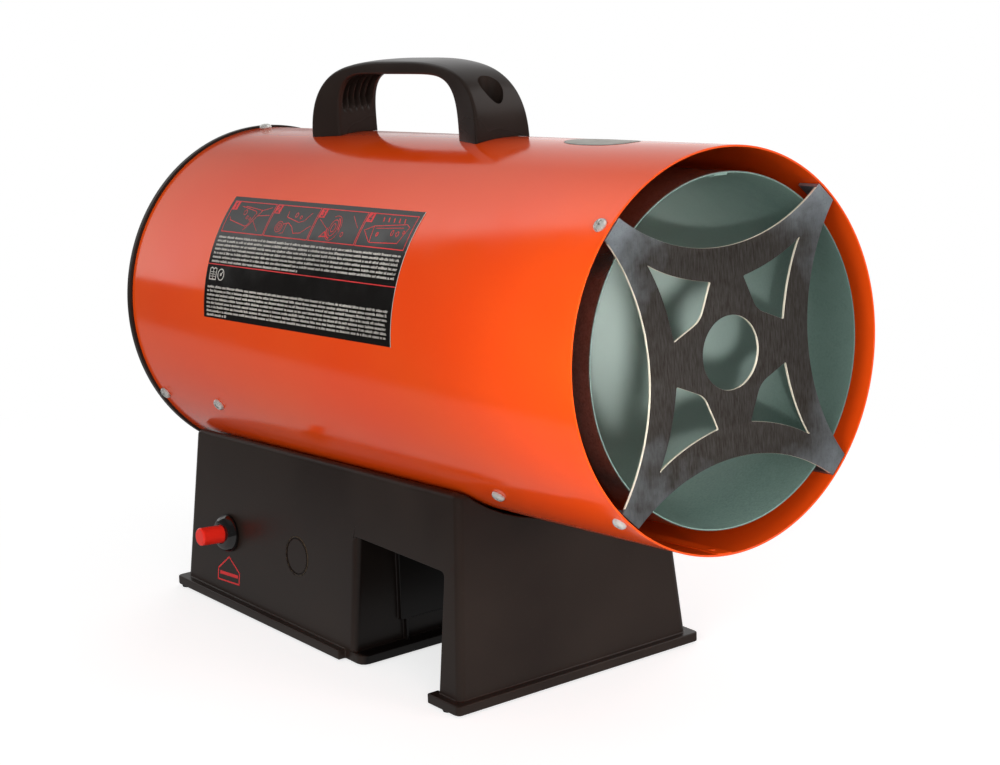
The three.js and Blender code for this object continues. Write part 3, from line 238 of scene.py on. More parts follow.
# Rounds the edges that turn by more than the least turn.
def roundEdges(piece, width, segments, leastTurn=50):
    change = piece.modifiers.new("edges", "BEVEL")
    change.width = width / 1000
    change.segments = segments
    change.limit_method = "ANGLE"
    change.angle_limit = math.radians(leastTurn)
    change.use_clamp_overlap = False
    change.miter_outer = "MITER_ARC"
    finishMesh(bakedMesh(piece))


# A rounded corner stays close to the sharp solid. Points further off than the reach are set back on it.
def pullBack(piece, solid, reach):
    corners = [point.co for point in solid.vertices]
    surface = BVHTree.FromPolygons(corners, [face.vertices for face in solid.polygons])
    for point in piece.data.vertices:
        nearest, _, _, distance = surface.find_nearest(point.co)
        if distance > reach:
            point.co = nearest


# Gives each corner the normal of its larger faces, so that flat faces look flat beside rounded edges.
def flattenFaces(piece, weight=80):
    change = piece.modifiers.new("normals", "WEIGHTED_NORMAL")
    change.keep_sharp = True
    change.weight = weight
    bakedMesh(piece)


# A CAD solid's copy with its flat faces joined, its round faces smooth and its edges rounded.
def cleanCopy(node, name, material, body="body", width=0.0, segments=2):
    limits = {"flatTurn": math.radians(0.4), "reachShare": 0.45}
    work = bmesh.new()
    work.from_mesh(solids[node].data)
    bmesh.ops.remove_doubles(work, verts=work.verts, dist=doubleReach)
    bmesh.ops.dissolve_limit(work, angle_limit=limits["flatTurn"], verts=work.verts, edges=work.edges)
    mesh = bpy.data.meshes.new(name)
    work.to_mesh(mesh)
    work.free()
    piece = place(name, smoothShade(mesh), material, body, (node,))
    if width:
        roundEdges(piece, width, segments)
        pullBack(piece, solids[node].data, limits["reachShare"] * width / 1000)
    flattenFaces(piece)


# Finishes. Colours are written as on screen, 0 to 255, and spans as places in metres.
# On screen to linear: c / 12.92 below 0.04045, else ((c + 0.055) / 1.055) to the power 2.4.
def paint(red, green, blue):
    shares = np.array([red, green, blue]) / 255
    linear = np.where(shares > 0.04045, ((shares + 0.055) / 1.055) ** 2.4, shares / 12.92)
    return (*linear.tolist(), 1.0)


# A node with its settings, and a link or a value in each socket named.
def addNode(tree, kind, inputs=None, **settings):
    made = tree.nodes.new(kind)
    for name, value in settings.items():
        setattr(made, name, value)
    for name, value in (inputs or {}).items():
        if isinstance(value, bpy.types.NodeSocket):
            tree.links.new(value, made.inputs[name])
        else:
            made.inputs[name].default_value = value
    return made


# The place on the object, in metres on the model's own axes, turned and stretched.
def coordinates(tree, turn=(0, 0, 0), stretch=(1, 1, 1)):
    source = addNode(tree, "ShaderNodeTexCoord")
    mapping = addNode(tree, "ShaderNodeMapping", {"Vector": source.outputs["Object"], "Rotation": turn,
                                                   "Scale": stretch})
    return mapping.outputs["Vector"]


# Soft noise with as many waves in a metre as its scale says.
def noise(tree, vector, scale, detail=3.0, roughness=0.55):
    made = addNode(tree, "ShaderNodeTexNoise", {"Vector": vector, "Scale": scale, "Detail": detail,
                                                "Roughness": roughness})
    return made.outputs["Fac"]


# low + (high - low) times (value - fromLow) / (fromHigh - fromLow), held between low and high.
def ramp(tree, value, low, high, fromLow, fromHigh):
    made = addNode(tree, "ShaderNodeMapRange", {"Value": value, "From Min": fromLow, "From Max": fromHigh,
                                                "To Min": low, "To Max": high})
    return made.outputs["Result"]


# Two colours in shares. Sockets 6 and 7 take the colours, and output 2 gives the mix.
def mixed(tree, share, first, second):
    return addNode(tree, "ShaderNodeMix", {"Factor": share, 6: first, 7: second}, data_type="RGBA").outputs[2]


# Two numbers in shares.
def shared(tree, share, first, second):
    return addNode(tree, "ShaderNodeMix", {"Factor": share, "A": first, "B": second}).outputs[0]


# A number worked out from others, such as their product.
def worked(tree, operation, *values, **settings):
    made = addNode(tree, "ShaderNodeMath", dict(enumerate(values)), operation=operation, **settings)
    return made.outputs[0]


# The same from vectors: a product is a vector, and a length, distance or dot product is a number.
def workedVector(tree, operation, *values):
    made = addNode(tree, "ShaderNodeVectorMath", dict(enumerate(values)), operation=operation)
    return made.outputs["Vector" if operation == "MULTIPLY" else "Value"]


# A vector's own X, Y and Z.
def parted(tree, vector):
    return addNode(tree, "ShaderNodeSeparateXYZ", {"Vector": vector}).outputs


# A relief of the height's shape, its distance in mm.
def bumped(tree, shader, height, strength, distance):
    made = addNode(tree, "ShaderNodeBump", {"Height": height, "Strength": strength,
                                            "Distance": distance / 1000})
    tree.links.new(made.outputs["Normal"], shader.inputs["Normal"])


# Leads a finish's colour and roughness into its shader.
def dressed(tree, shader, colour, rough):
    tree.links.new(colour, shader.inputs["Base Color"])
    tree.links.new(rough, shader.inputs["Roughness"])


# A material with its shader's plain values. The fields that vary over the surface are linked afterwards.
def newFinish(name, **values):
    material = bpy.data.materials.new(name)
    material.use_nodes = True
    shader = material.node_tree.nodes["Principled BSDF"]
    sockets = {"metal": "Metallic", "rough": "Roughness", "ior": "IOR", "specular": "Specular IOR Level"}
    for key, value in values.items():
        shader.inputs[sockets[key]].default_value = value
    return material, material.node_tree, shader


# Gloss paint: two close reds in broad clouds, a slight drift of gloss and a sprayed coat's faint dimples.
def enamelFinish():
    look = {"colour": (239, 80, 17), "deep": (238, 72, 12), "rough": 0.12, "smoother": 0.02, "rougher": 0.05,
            "cloudScale": 9.0, "filmScale": 60.0, "peelScale": 260.0, "peelStrength": 0.25,
            "peelDepth": 0.012}
    material, tree, shader = newFinish("enamelPaint", rough=look["rough"], ior=1.5)
    at = coordinates(tree)
    cloud = ramp(tree, noise(tree, at, look["cloudScale"], 2.0), 0, 1, 0.35, 0.65)
    colour = mixed(tree, cloud, paint(*look["colour"]), paint(*look["deep"]))
    film = noise(tree, at, look["filmScale"], 4.0)
    rough = ramp(tree, film, look["rough"] - look["smoother"], look["rough"] + look["rougher"], 0.3, 0.7)
    dressed(tree, shader, colour, rough)
    bumped(tree, shader, noise(tree, at, look["peelScale"], 2.0), look["peelStrength"], look["peelDepth"])
    return material


# Zinc-coated sheet: soft clouds, small crystals and faint rolling lines along the tube. Deep inside it turns
# paler, a painted pool of light, and towards +X it turns darker, painted shade.
def galvanisedFinish(name, light, dark, rough, metal=0.85, deep=None):
    look = {"cloudScale": 14.0, "crystalScale": 260.0, "grainScale": 900.0, "rolledStretch": (900, 12, 900),
            "smoother": 0.07, "rougher": 0.1, "rolledStrength": 0.12, "rolledDepth": 0.02, "paintedShadeTone": 0.75,
            "paintedShadeShare": 0.7, "side": (0.0, 0.07), "paintedLightShare": 0.9, "depth": (-0.17, 0.0)}
    material, tree, shader = newFinish(name, metal=metal)
    at = coordinates(tree)
    cloud = noise(tree, at, look["cloudScale"], 3.0)
    crystals = addNode(tree, "ShaderNodeTexVoronoi",
                       {"Vector": at, "Scale": look["crystalScale"], "Randomness": 1.0}).outputs["Color"]
    rolled = noise(tree, coordinates(tree, (-tilt, 0, 0), look["rolledStretch"]), 1.0, 2.0)
    tone = worked(tree, "MULTIPLY", cloud, noise(tree, at, look["grainScale"], 2.0))
    colour = mixed(tree, ramp(tree, tone, 0, 1, 0.12, 0.4), paint(*dark), paint(*light))
    colour = mixed(tree, ramp(tree, crystals, 0.0, 0.35, 0.2, 0.9), colour, paint(*light))
    # Painted light and shade: the deep colour is painted light deep in the tube, the side colour painted
    # shade towards +X.
    if deep:
        split = parted(tree, at)
        shade = paint(*(np.array(dark) * look["paintedShadeTone"]))
        colour = mixed(tree, ramp(tree, split["X"], 0, look["paintedShadeShare"], *look["side"]), colour, shade)
        paintedDeepLight = ramp(tree, split["Y"], 0, look["paintedLightShare"], *look["depth"])
        colour = mixed(tree, paintedDeepLight, colour, paint(*deep))
    gloss = ramp(tree, cloud, rough - look["smoother"], rough + look["rougher"], 0.3, 0.7)
    dressed(tree, shader, colour, gloss)
    bumped(tree, shader, rolled, look["rolledStrength"], look["rolledDepth"])
    return material


# Bare plate: fine straight brush lines, broad pale and dark clouds, small dull specks.
def brushedFinish(name, light, dark, rough):
    look = {"lineStretch": (700, 30, 700), "cloudScale": 26.0, "speckScale": 800.0, "speckShare": 0.4,
            "smoother": 0.06, "rougher": 0.1, "lineStrength": 0.15, "lineDepth": 0.015}
    material, tree, shader = newFinish(name, metal=1.0)
    at = coordinates(tree)
    lines = noise(tree, coordinates(tree, stretch=look["lineStretch"]), 1.0, 3.0)
    cloud = noise(tree, at, look["cloudScale"], 4.0, 0.6)
    specks = ramp(tree, noise(tree, at, look["speckScale"], 2.0), 0, look["speckShare"], 0.52, 0.75)
    tone = worked(tree, "MULTIPLY", cloud, ramp(tree, lines, 0.7, 1.3, 0.2, 0.8))
    colour = mixed(tree, ramp(tree, tone, 0, 1, 0.33, 0.66), paint(*dark), paint(*light))
    colour = mixed(tree, specks, colour, paint(*dark))
    gloss = ramp(tree, cloud, rough + look["rougher"], rough - look["smoother"], 0.35, 0.65)
    dressed(tree, shader, colour, gloss)
    bumped(tree, shader, lines, look["lineStrength"], look["lineDepth"])
    return material


# The guard's plate: vertical rolling grain, brown-grey in the middle and paler in clouds towards its ends.
def guardFinish():
    look = {"middle": (60, 53, 48), "grey": (86, 82, 79), "pale": (170, 178, 184), "rough": 0.44, "axis": 0.2,
            "reach": (0.03, 0.085), "height": (0.15, 0.24), "heightTones": (0.67, 0.97), "paleShare": 0.85,
            "lineStretch": (1300, 1300, 160), "cloudScale": 30.0, "speckScale": 1100.0, "speckShare": 0.3,
            "smoother": 0.06, "rougher": 0.08, "lineStrength": 0.1, "lineDepth": 0.008}
    material, tree, shader = newFinish("guardPlate", metal=0.75)
    at = coordinates(tree)
    lines = noise(tree, coordinates(tree, stretch=look["lineStretch"]), 1.0, 3.0)
    cloud = noise(tree, at, look["cloudScale"], 4.0, 0.6)
    specks = ramp(tree, noise(tree, at, look["speckScale"], 3.0), 0, look["speckShare"], 0.55, 0.75)
    flat = workedVector(tree, "MULTIPLY", at, (1, 0, 1))
    reach = ramp(tree, workedVector(tree, "DISTANCE", flat, (0, 0, look["axis"])), 0.05, 1, *look["reach"])
    height = ramp(tree, parted(tree, at)["Z"], *look["heightTones"], *look["height"])
    edge = worked(tree, "MULTIPLY", worked(tree, "MULTIPLY", reach, cloud), height)
    colour = mixed(tree, ramp(tree, lines, 0, 1, 0.3, 0.7), paint(*look["middle"]), paint(*look["grey"]))
    colour = mixed(tree, ramp(tree, edge, 0, look["paleShare"], 0.2, 0.5), colour, paint(*look["pale"]))
    colour = mixed(tree, specks, colour, paint(*look["middle"]))
    rough = ramp(tree, cloud, look["rough"] + look["rougher"], look["rough"] - look["smoother"], 0.35, 0.65)
    dressed(tree, shader, colour, rough)
    bumped(tree, shader, lines, look["lineStrength"], look["lineDepth"])
    return material


# Smooth moulded, cast, turned or glazed surfaces: a slight drift of tone and of gloss, and a faint grain.
def castFinish(name, colour, rough, metal, scale=180.0, depth=0.01, wear=None, specular=0.5):
    look = {"dark": 0.9, "bright": 1.06, "cloudScale": 24.0, "filmScale": 70.0, "wearScale": 320.0,
            "wearShare": 0.5, "smoother": 0.05, "rougher": 0.07, "grainStrength": 0.3}
    material, tree, shader = newFinish(name, metal=metal, specular=specular)
    at = coordinates(tree)
    base = np.array(colour, float)
    cloud = ramp(tree, noise(tree, at, look["cloudScale"], 3.0), 0, 1, 0.32, 0.68)
    tinted = mixed(tree, cloud, paint(*(base * look["dark"])), paint(*np.minimum(base * look["bright"], 255)))
    if wear:
        worn = ramp(tree, noise(tree, at, look["wearScale"], 4.0), 0, look["wearShare"], 0.6, 0.8)
        tinted = mixed(tree, worn, tinted, paint(*wear))
    film = noise(tree, at, look["filmScale"], 3.0)
    gloss = ramp(tree, film, rough - look["smoother"], rough + look["rougher"], 0.3, 0.7)
    dressed(tree, shader, tinted, gloss)
    bumped(tree, shader, noise(tree, at, scale, 2.0), look["grainStrength"], depth)
    return material


# Black plastic: a fine eroded skin of tiny cells, faint flow clouds and rubbed, paler high spots. The base's
# has painted shade inside its archway: within the leaning flanks, by |x| + lean z, and between its front and
# back.
def mouldedFinish(name, look, paintedArchShade=None):
    skin = {"flowScale": 11.0, "dustScale": 420.0, "dustShare": 0.35, "smoother": 0.04, "rougher": 0.06,
            "strength": 0.35}
    material, tree, shader = newFinish(name, specular=look["specular"])
    at = coordinates(tree)
    flow = ramp(tree, noise(tree, at, skin["flowScale"], 3.0), 0, 1, 0.35, 0.68)
    dust = ramp(tree, noise(tree, at, skin["dustScale"], 4.0, 0.7), 0, skin["dustShare"], 0.6, 0.85)
    colour = mixed(tree, flow, paint(*look["colour"]), paint(*look["pale"]))
    colour = mixed(tree, dust, colour, paint(*look["dust"]))
    # Painted shade: darker inside the archway, where the flanks and walls keep the light out.
    if paintedArchShade:
        split = parted(tree, at)
        side = worked(tree, "ABSOLUTE", split["X"])
        reach = worked(tree, "MULTIPLY_ADD", split["Z"], paintedArchShade["lean"], side)
        archShadeShare = ramp(tree, reach, 1, 0, *paintedArchShade["side"])
        for span in (paintedArchShade["front"], paintedArchShade["back"]):
            archShadeShare = worked(tree, "MULTIPLY", archShadeShare, ramp(tree, split["Y"], 0, 1, *span))
        colour = mixed(tree, archShadeShare, colour, paint(*paintedArchShade["colour"]))
    rough = ramp(tree, flow, look["rough"] - skin["smoother"], look["rough"] + skin["rougher"], 0, 1)
    dressed(tree, shader, colour, rough)
    bumped(tree, shader, noise(tree, at, look["cells"], 2.0), skin["strength"], look["depth"])
    return material


finish = {
    "enamel": enamelFinish(),
    # The tube's last colour is painted light, deep inside it.
    "flue": galvanisedFinish("galvanisedTube", (148, 174, 164), (116, 142, 133), 0.36, 0.3, (232, 250, 241)),
    "flueOuter": galvanisedFinish("galvanisedOutside", (140, 146, 142), (100, 108, 104), 0.3, 0.95),
    "sheet": galvanisedFinish("galvanisedSheet", (172, 176, 174), (132, 138, 136), 0.45),
    "guard": guardFinish(),
    # Sheared edges: bare metal, painted near white as a painted highlight.
    "cutEdgeHighlight": castFinish("cutEdgeHighlight", (222, 213, 194), 0.4, 0.15, 500.0, 0.02),
    "plate": brushedFinish("burnerPlate", (140, 132, 124), (88, 80, 72), 0.42),
    "zinc": castFinish("zincPlate", (224, 223, 218), 0.24, 0.6, 600.0, 0.01, (150, 148, 142)),
    "charcoal": mouldedFinish("charcoalPlastic",
                              {"colour": (33, 24, 20), "pale": (43, 34, 29), "dust": (62, 53, 46),
                               "rough": 0.33, "specular": 0.32, "cells": 1500.0, "depth": 0.035},
                              # Painted shade inside the base's archway: its colour, lean and spans.
                              {"colour": (11, 8, 7), "lean": 0.0875, "side": (0.0735, 0.0757),
                               "front": (-0.0665, -0.0655), "back": (0.02, 0.01)}),
    "grip": mouldedFinish("handlePlastic",
                          {"colour": (31, 24, 21), "pale": (41, 33, 29), "dust": (51, 43, 38), "rough": 0.27,
                           "specular": 0.3, "cells": 1500.0, "depth": 0.03}),
    "gloss": castFinish("glossBlack", (9, 7, 7), 0.08, 0.0, specular=1.0),
    "rubber": castFinish("blackRubber", (30, 29, 28), 0.7, 0.0, 900.0, 0.03, (52, 50, 47)),
    "red": castFinish("redPlastic", (255, 44, 30), 0.14, 0.0, 300.0, 0.006, specular=0.6),
    "pale": castFinish("paleRingLine", (100, 86, 66), 0.5, 0.0, 300.0, 0.01),
    "brass": castFinish("turnedBrass", (190, 158, 84), 0.3, 1.0, 700.0, 0.01, (140, 108, 52)),
    "copper": castFinish("drawnCopper", (186, 110, 72), 0.32, 1.0, 500.0, 0.01, (120, 66, 44)),
    "ceramic": castFinish("glazedCeramic", (230, 224, 210), 0.3, 0.0),
    "alloy": castFinish("alloy", (176, 178, 178), 0.38, 1.0, 500.0, 0.02, (130, 132, 132)),
    "labelFilm": castFinish("labelFilm", (13, 10, 8), 0.11, 0.0, 200.0, 0.003, specular=0.4),
    "whiteInk": castFinish("whiteInk", (214, 208, 200), 0.35, 0.0),
    "redInk": castFinish("redInk", (214, 36, 40), 0.35, 0.0),
    "stickerFilm": castFinish("stickerFilm", (142, 137, 122), 0.35, 0.0),
    "stickerEdge": castFinish("stickerEdge", (96, 92, 84), 0.35, 0.0),
}
print("finishes:", len(finish))


# The painted tube: a sheet rolled up with a lap along its underside and a spot weld near its front.
# A thin closed outline (outer wall, rounded rim, inner wall) carried once round the tube's axis.
def makeCasing():
    wall = softened(oblong(innerRadius, 0, casing["radius"], casing["length"]), casing["rimRound"], 4)
    piece = makePiece("casingShell", [tubeRing(wall, casing["facets"])], finish["enamel"],
                      instead=("outer_casing",))
    half = np.degrees(casing["seamWidth"] / 2 / casing["radius"])
    low, angle = innerRadius - casing["seamDepth"], casing["seamAngle"]
    lap = softened(oblong(low, casing["seamFront"], innerRadius + casing["seamSink"],
                          casing["length"] - casing["seamBack"]), casing["seamRound"], 2)
    weld = softened([[0, 0], [casing["weldRadius"], 0], [casing["weldShoulder"], -casing["weldRim"]],
                     [0, -casing["weldHeight"]]], [0, 0.05, 0.3, 0])
    makePiece("casingLap", [tubeRing(lap, 8, angle - half, angle + half),
                            tubeStud(weld, 20, angle, casing["weldAlong"], low)], finish["enamel"])
    return piece


# The oval opening in the casing's underside, for the pipe and leads: a prism along the tube's own vertical.
def grommetSlot():
    slot = {"along": 269.1, "halfX": 14.0, "halfY": 7.0, "top": -80.0, "bottom": -110.0}
    turn = np.radians(np.linspace(0, 360, 48, endpoint=False))
    x = np.cos(turn) * slot["halfY"] + np.sign(np.cos(turn)) * (slot["halfX"] - slot["halfY"])
    along = slot["along"] + np.sin(turn) * slot["halfY"]
    points, faces = lofted([np.column_stack([x, along, np.full(len(x), level)])
                            for level in (slot["bottom"], slot["top"])])
    return tubePlace(points), faces


casingShell = makeCasing()
carve(casingShell, [grommetSlot()])
print("casing done")


# The distance of each face's middle from the tube's axis, in mm, and how far the face looks along the axis.
def faceReach(mesh):
    normals = np.empty(len(mesh.polygons) * 3)
    centres = np.empty(len(mesh.polygons) * 3)
    mesh.polygons.foreach_get("normal", normals)
    mesh.polygons.foreach_get("center", centres)
    axis = np.array([0, math.cos(tilt), -math.sin(tilt)])
    offset = centres.reshape(-1, 3) * 1000 - [0, axisStart, axisHeight]
    radius = np.linalg.norm(offset - (offset @ axis)[:, None] * axis, axis=1)
    return radius, np.abs(normals.reshape(-1, 3) @ axis)


# Gives the faces beyond a radius the duller finish of the tube's outside.
def dullOutside(piece, radius):
    piece.data.materials.append(finish["flueOuter"])
    reach, _ = faceReach(piece.data)
    piece.data.polygons.foreach_set("material_index", (reach > radius).astype(np.int32))


# The combustion tube: a rolled sheet with a lap along its top, a rivet near each end and rounded rims.
def makeFlue():
    flue = {"outer": 83.1, "inner": 82.2, "front": 1.8, "back": 238.1, "rimRound": 0.35, "lapFrom": -3.8,
            "lapTo": 1.7, "lapDepth": 0.8, "lapInset": 0.2, "rivetAlong": 9.0, "rivetRadius": 2.4,
            "rivetHeight": 1.1, "rivetRoot": 0.3, "rivetTopShare": 0.75}
    wall = softened(oblong(flue["inner"], flue["front"], flue["outer"], flue["back"]), flue["rimRound"], 3)
    low, inset = flue["inner"] - flue["lapDepth"], flue["lapInset"]
    lap = softened(oblong(low, flue["front"] + inset, flue["inner"] + inset, flue["back"] - inset), inset, 2)
    shells = [tubeRing(wall, 224), tubeRing(lap, 10, flue["lapFrom"], flue["lapTo"])]
    wide, high, root = flue["rivetRadius"], flue["rivetHeight"], flue["rivetRoot"]
    dome = softened([[0, root], [wide, root], [wide, 0], [wide * flue["rivetTopShare"], -high], [0, -high]],
                    [0, 0, 0.1, 0.5, 0], 3)
    middle = (flue["lapFrom"] + flue["lapTo"]) / 2
    for along in (flue["rivetAlong"], flue["back"] - flue["rivetAlong"]):
        shells.append(tubeStud(dome, 24, middle, along, low))
    piece = makePiece("combustionTube", shells, finish["flue"], instead=("combustion_tube",))
    dullOutside(piece, (flue["inner"] + flue["outer"]) / 2)


makeFlue()
for side in ("left", "right"):
    cleanCopy(f"tube_stay_{side}", f"tubeStay_{side}", finish["sheet"], width=0.25)
print("combustion tube done")


# A flat curve filled between its outlines, as a shell: x and y in its plane, z through its thickness.
def filledPlate(outlines, thickness, edge):
    curve = bpy.data.curves.new("plate", "CURVE")
    curve.dimensions = "2D"
    curve.fill_mode = "BOTH"
    curve.extrude = thickness / 2 - edge
    curve.bevel_depth = edge
    curve.bevel_resolution = 1
    curve.offset = -edge
    for outline in outlines:
        spline = curve.splines.new("POLY")
        spline.points.add(len(outline) - 1)
        flat = np.column_stack([outline, np.zeros(len(outline)), np.ones(len(outline))])
        spline.points.foreach_set("co", flat.ravel())
        spline.use_cyclic_u = True
    holder = bpy.data.objects.new("plate", curve)
    bpy.context.scene.collection.objects.link(holder)
    mesh = bpy.data.meshes.new_from_object(holder.evaluated_get(bpy.context.evaluated_depsgraph_get()))
    points, faces = shellOf(mesh)
    bpy.data.objects.remove(holder)
    bpy.data.curves.remove(curve)
    bpy.data.meshes.remove(mesh)
    return points, faces


def arcPoints(centre, radius, start, end, steps):
    angle = np.linspace(start, end, steps)
    return np.column_stack([centre[0] + radius * np.cos(angle), centre[1] + radius * np.sin(angle)])


# The front guard: a plate bounded by four concave arcs, with a round hole and four kite-shaped cut-outs whose
# long sides are parabolas, and a bent tab at the end of each arm.
def makeGuard():
    guard = {"sheet": 1.5, "edgeRadius": 49.3, "armHalf": 5.3, "hole": 17.4, "hubRing": 8.2, "reach": 93.3,
             "tab": 13.0, "tabRoot": 4.0, "tabLift": 0.02, "kiteTip": 66.8, "kiteCorner": 31.4,
             "kiteCornerHalf": 17.0, "kiteSag": 2.0, "kiteHeelRise": 0.9, "kiteHeelHalf": 4.5,
             "kiteNotchHalf": 1.8, "tipRound": 0.7, "cornerRound": 0.9, "heelRound": 2.4, "notchRound": 1.6,
             "edge": 0.18, "bend": 1.3, "brightInset": 3.0, "smoothTurn": 50}
    quarter = math.pi / 4
    centre = (guard["edgeRadius"] - guard["armHalf"]) / (1 - math.sin(quarter))
    edge = centre - guard["edgeRadius"]
    offset = centre * math.sin(quarter)
    armEnd = offset - math.sqrt(edge ** 2 - (guard["reach"] - offset) ** 2)
    half = math.asin((guard["reach"] * math.sin(quarter) - armEnd * math.cos(quarter)) / edge)
    outline = []
    for arm in range(4):
        turn = arm * 2 * quarter
        middle = (centre * math.cos(turn), centre * math.sin(turn))
        outline.append(arcPoints(middle, edge, turn + math.pi + half, turn + math.pi - half, 56))
    notch = guard["hole"] + guard["hubRing"]
    share = np.linspace(0, 1, 24)
    along = guard["kiteTip"] + (guard["kiteCorner"] - guard["kiteTip"]) * share
    across = (guard["kiteCornerHalf"] - guard["kiteSag"] * 4 * (1 - share)) * share
    side = np.column_stack([along, across]).tolist()
    heel = [[notch + guard["kiteHeelRise"], guard["kiteHeelHalf"]], [notch, guard["kiteNotchHalf"]]]
    ring = side + heel
    ring += [[a, -b] for a, b in ring[:0:-1]]
    count = len(side)
    radii = np.full(len(ring), 0.01)
    radii[0] = guard["tipRound"]
    radii[[count - 1, -count + 1]] = guard["cornerRound"]
    radii[[count, -count]] = guard["heelRound"]
    radii[[count + 1, -count - 1]] = guard["notchRound"]
    kite = softened(ring, radii, 4)
    holes = [arcPoints((0, 0), guard["hole"], 0, 2 * math.pi, 97)[:-1]]
    for arm in range(4):
        turn = quarter + arm * 2 * quarter
        cos, sin = math.cos(turn), math.sin(turn)
        holes.append(kite @ np.array([[cos, sin], [-sin, cos]]))
    flat, faces = filledPlate([np.concatenate(outline)] + holes, guard["sheet"], guard["edge"])
    plate = np.column_stack([flat[:, 0], guard["sheet"] / 2 + flat[:, 2], flat[:, 1]])
    shells = [(tubePlace(plate), faces)]
    reach, sheet, tab = guard["reach"], guard["sheet"], guard["tab"]
    root = reach - guard["tabRoot"]
    bent = softened([[root, guard["tabLift"]], [reach, guard["tabLift"]], [reach, tab], [reach - sheet, tab],
                     [reach - sheet, sheet], [root, sheet]], [0, guard["bend"], 0.4, 0.4, 0.1, 0], 5)
    spread = math.degrees(armEnd / reach)
    for angle in (45, 135, 225, 315):
        shells.append(tubeRing(bent, 9, angle - spread, angle + spread))
    piece = makePiece("frontGuard", shells, finish["guard"], instead=("front_guard",),
                      angle=guard["smoothTurn"])
    paintEdgeHighlight(piece, reach - guard["brightInset"])


# Gives the sheared edges, whose faces look across the tube rather than along it, their brighter finish:
# bare cut metal, painted near white as a painted highlight.
def paintEdgeHighlight(piece, within, leastAlong=0.85):
    piece.data.materials.append(finish["cutEdgeHighlight"])
    radius, turned = faceReach(piece.data)
    bright = (turned < leastAlong) & (radius < within)
    piece.data.polygons.foreach_set("material_index", bright.astype(np.int32))


makeGuard()
print("front guard done")


# A pan-head screw with a cross recess, standing up from its seat.
def screwMesh(headRadius, headHeight):
    screw = {"shank": 1.75, "reach": 4.5, "rimShare": 0.42, "domeShare": 0.72, "domeHeightShare": 0.93,
             "slotWidth": 1.2, "slotLong": 4.4, "slotDepth": 1.9, "slotFootShare": 0.8, "overrun": 1.0,
             "facets": 40}
    profile = softened([[0, -screw["reach"]], [screw["shank"], -screw["reach"]], [screw["shank"], 0],
                        [headRadius, 0], [headRadius, headHeight * screw["rimShare"]],
                        [headRadius * screw["domeShare"], headHeight * screw["domeHeightShare"]],
                        [0, headHeight]], [0, 0.4, 0.05, 0.15, 0.7, 1.2, 0], 4)
    points, faces = revolved(profile, screw["facets"])
    head = makePiece("screwPattern", [(points[:, [0, 2, 1]] / 1000, faces)], finish["zinc"])
    wide, long = screw["slotWidth"] / 2, screw["slotLong"] / 2
    floor = headHeight - screw["slotDepth"]
    cross = []
    for x, y in ((wide, long), (long, wide)):
        corners, cornerFaces = slab((-x, -y, floor), (x, y, headHeight + screw["overrun"]))
        corners[corners[:, 2] < headHeight, :2] *= screw["slotFootShare"]
        cross.append((corners / 1000, cornerFaces))
    carve(head, cross)
    points, faces = shellOf(head.data)
    bpy.data.objects.remove(head)
    return points * 1000, faces


# Screws round the tube, each kind with its (angle, along) places. Those in the sheet have turns of their own.
def makeScrews():
    sheet = {"head": 3.5, "height": 2.5, "lift": 0.05, "spun": True,
             "places": {"guard_screw": [(angle, 6.2) for angle in (45, 135, 225, 315)],
                        "stay_screw": [(angle, 97.6) for angle in (136, -136)],
                        "bracket_screw": [(angle, 328.6) for angle in (0, 120, -120)],
                        "rear_guard_screw": [(angle, 388.0) for angle in (0, 120, -120)]}}
    grip = {"head": 4.0, "height": 2.5, "lift": 14.05, "spun": False,
            "places": {"handle_screw": [(0, 168.0), (0, 304.0)]}}
    spins = iter(np.random.default_rng(7).uniform(0, 90, 20))
    for screws in (sheet, grip):
        points, faces = screwMesh(screws["head"], screws["height"])
        for kind, places in screws["places"].items():
            for number, (angle, along) in enumerate(places, 1):
                spin = math.radians(next(spins)) if screws["spun"] else 0.0
                turned = points @ np.array([[math.cos(spin), math.sin(spin), 0],
                                            [-math.sin(spin), math.cos(spin), 0], [0, 0, 1]])
                seated = aroundTube(turned + [0, 0, casing["radius"] + screws["lift"]], angle, along)
                makePiece(f"{kind}_head_{number}", [(tubePlace(seated), faces)], finish["zinc"],
                          instead=(f"{kind}_{number}",))


makeScrews()
print("screws done")


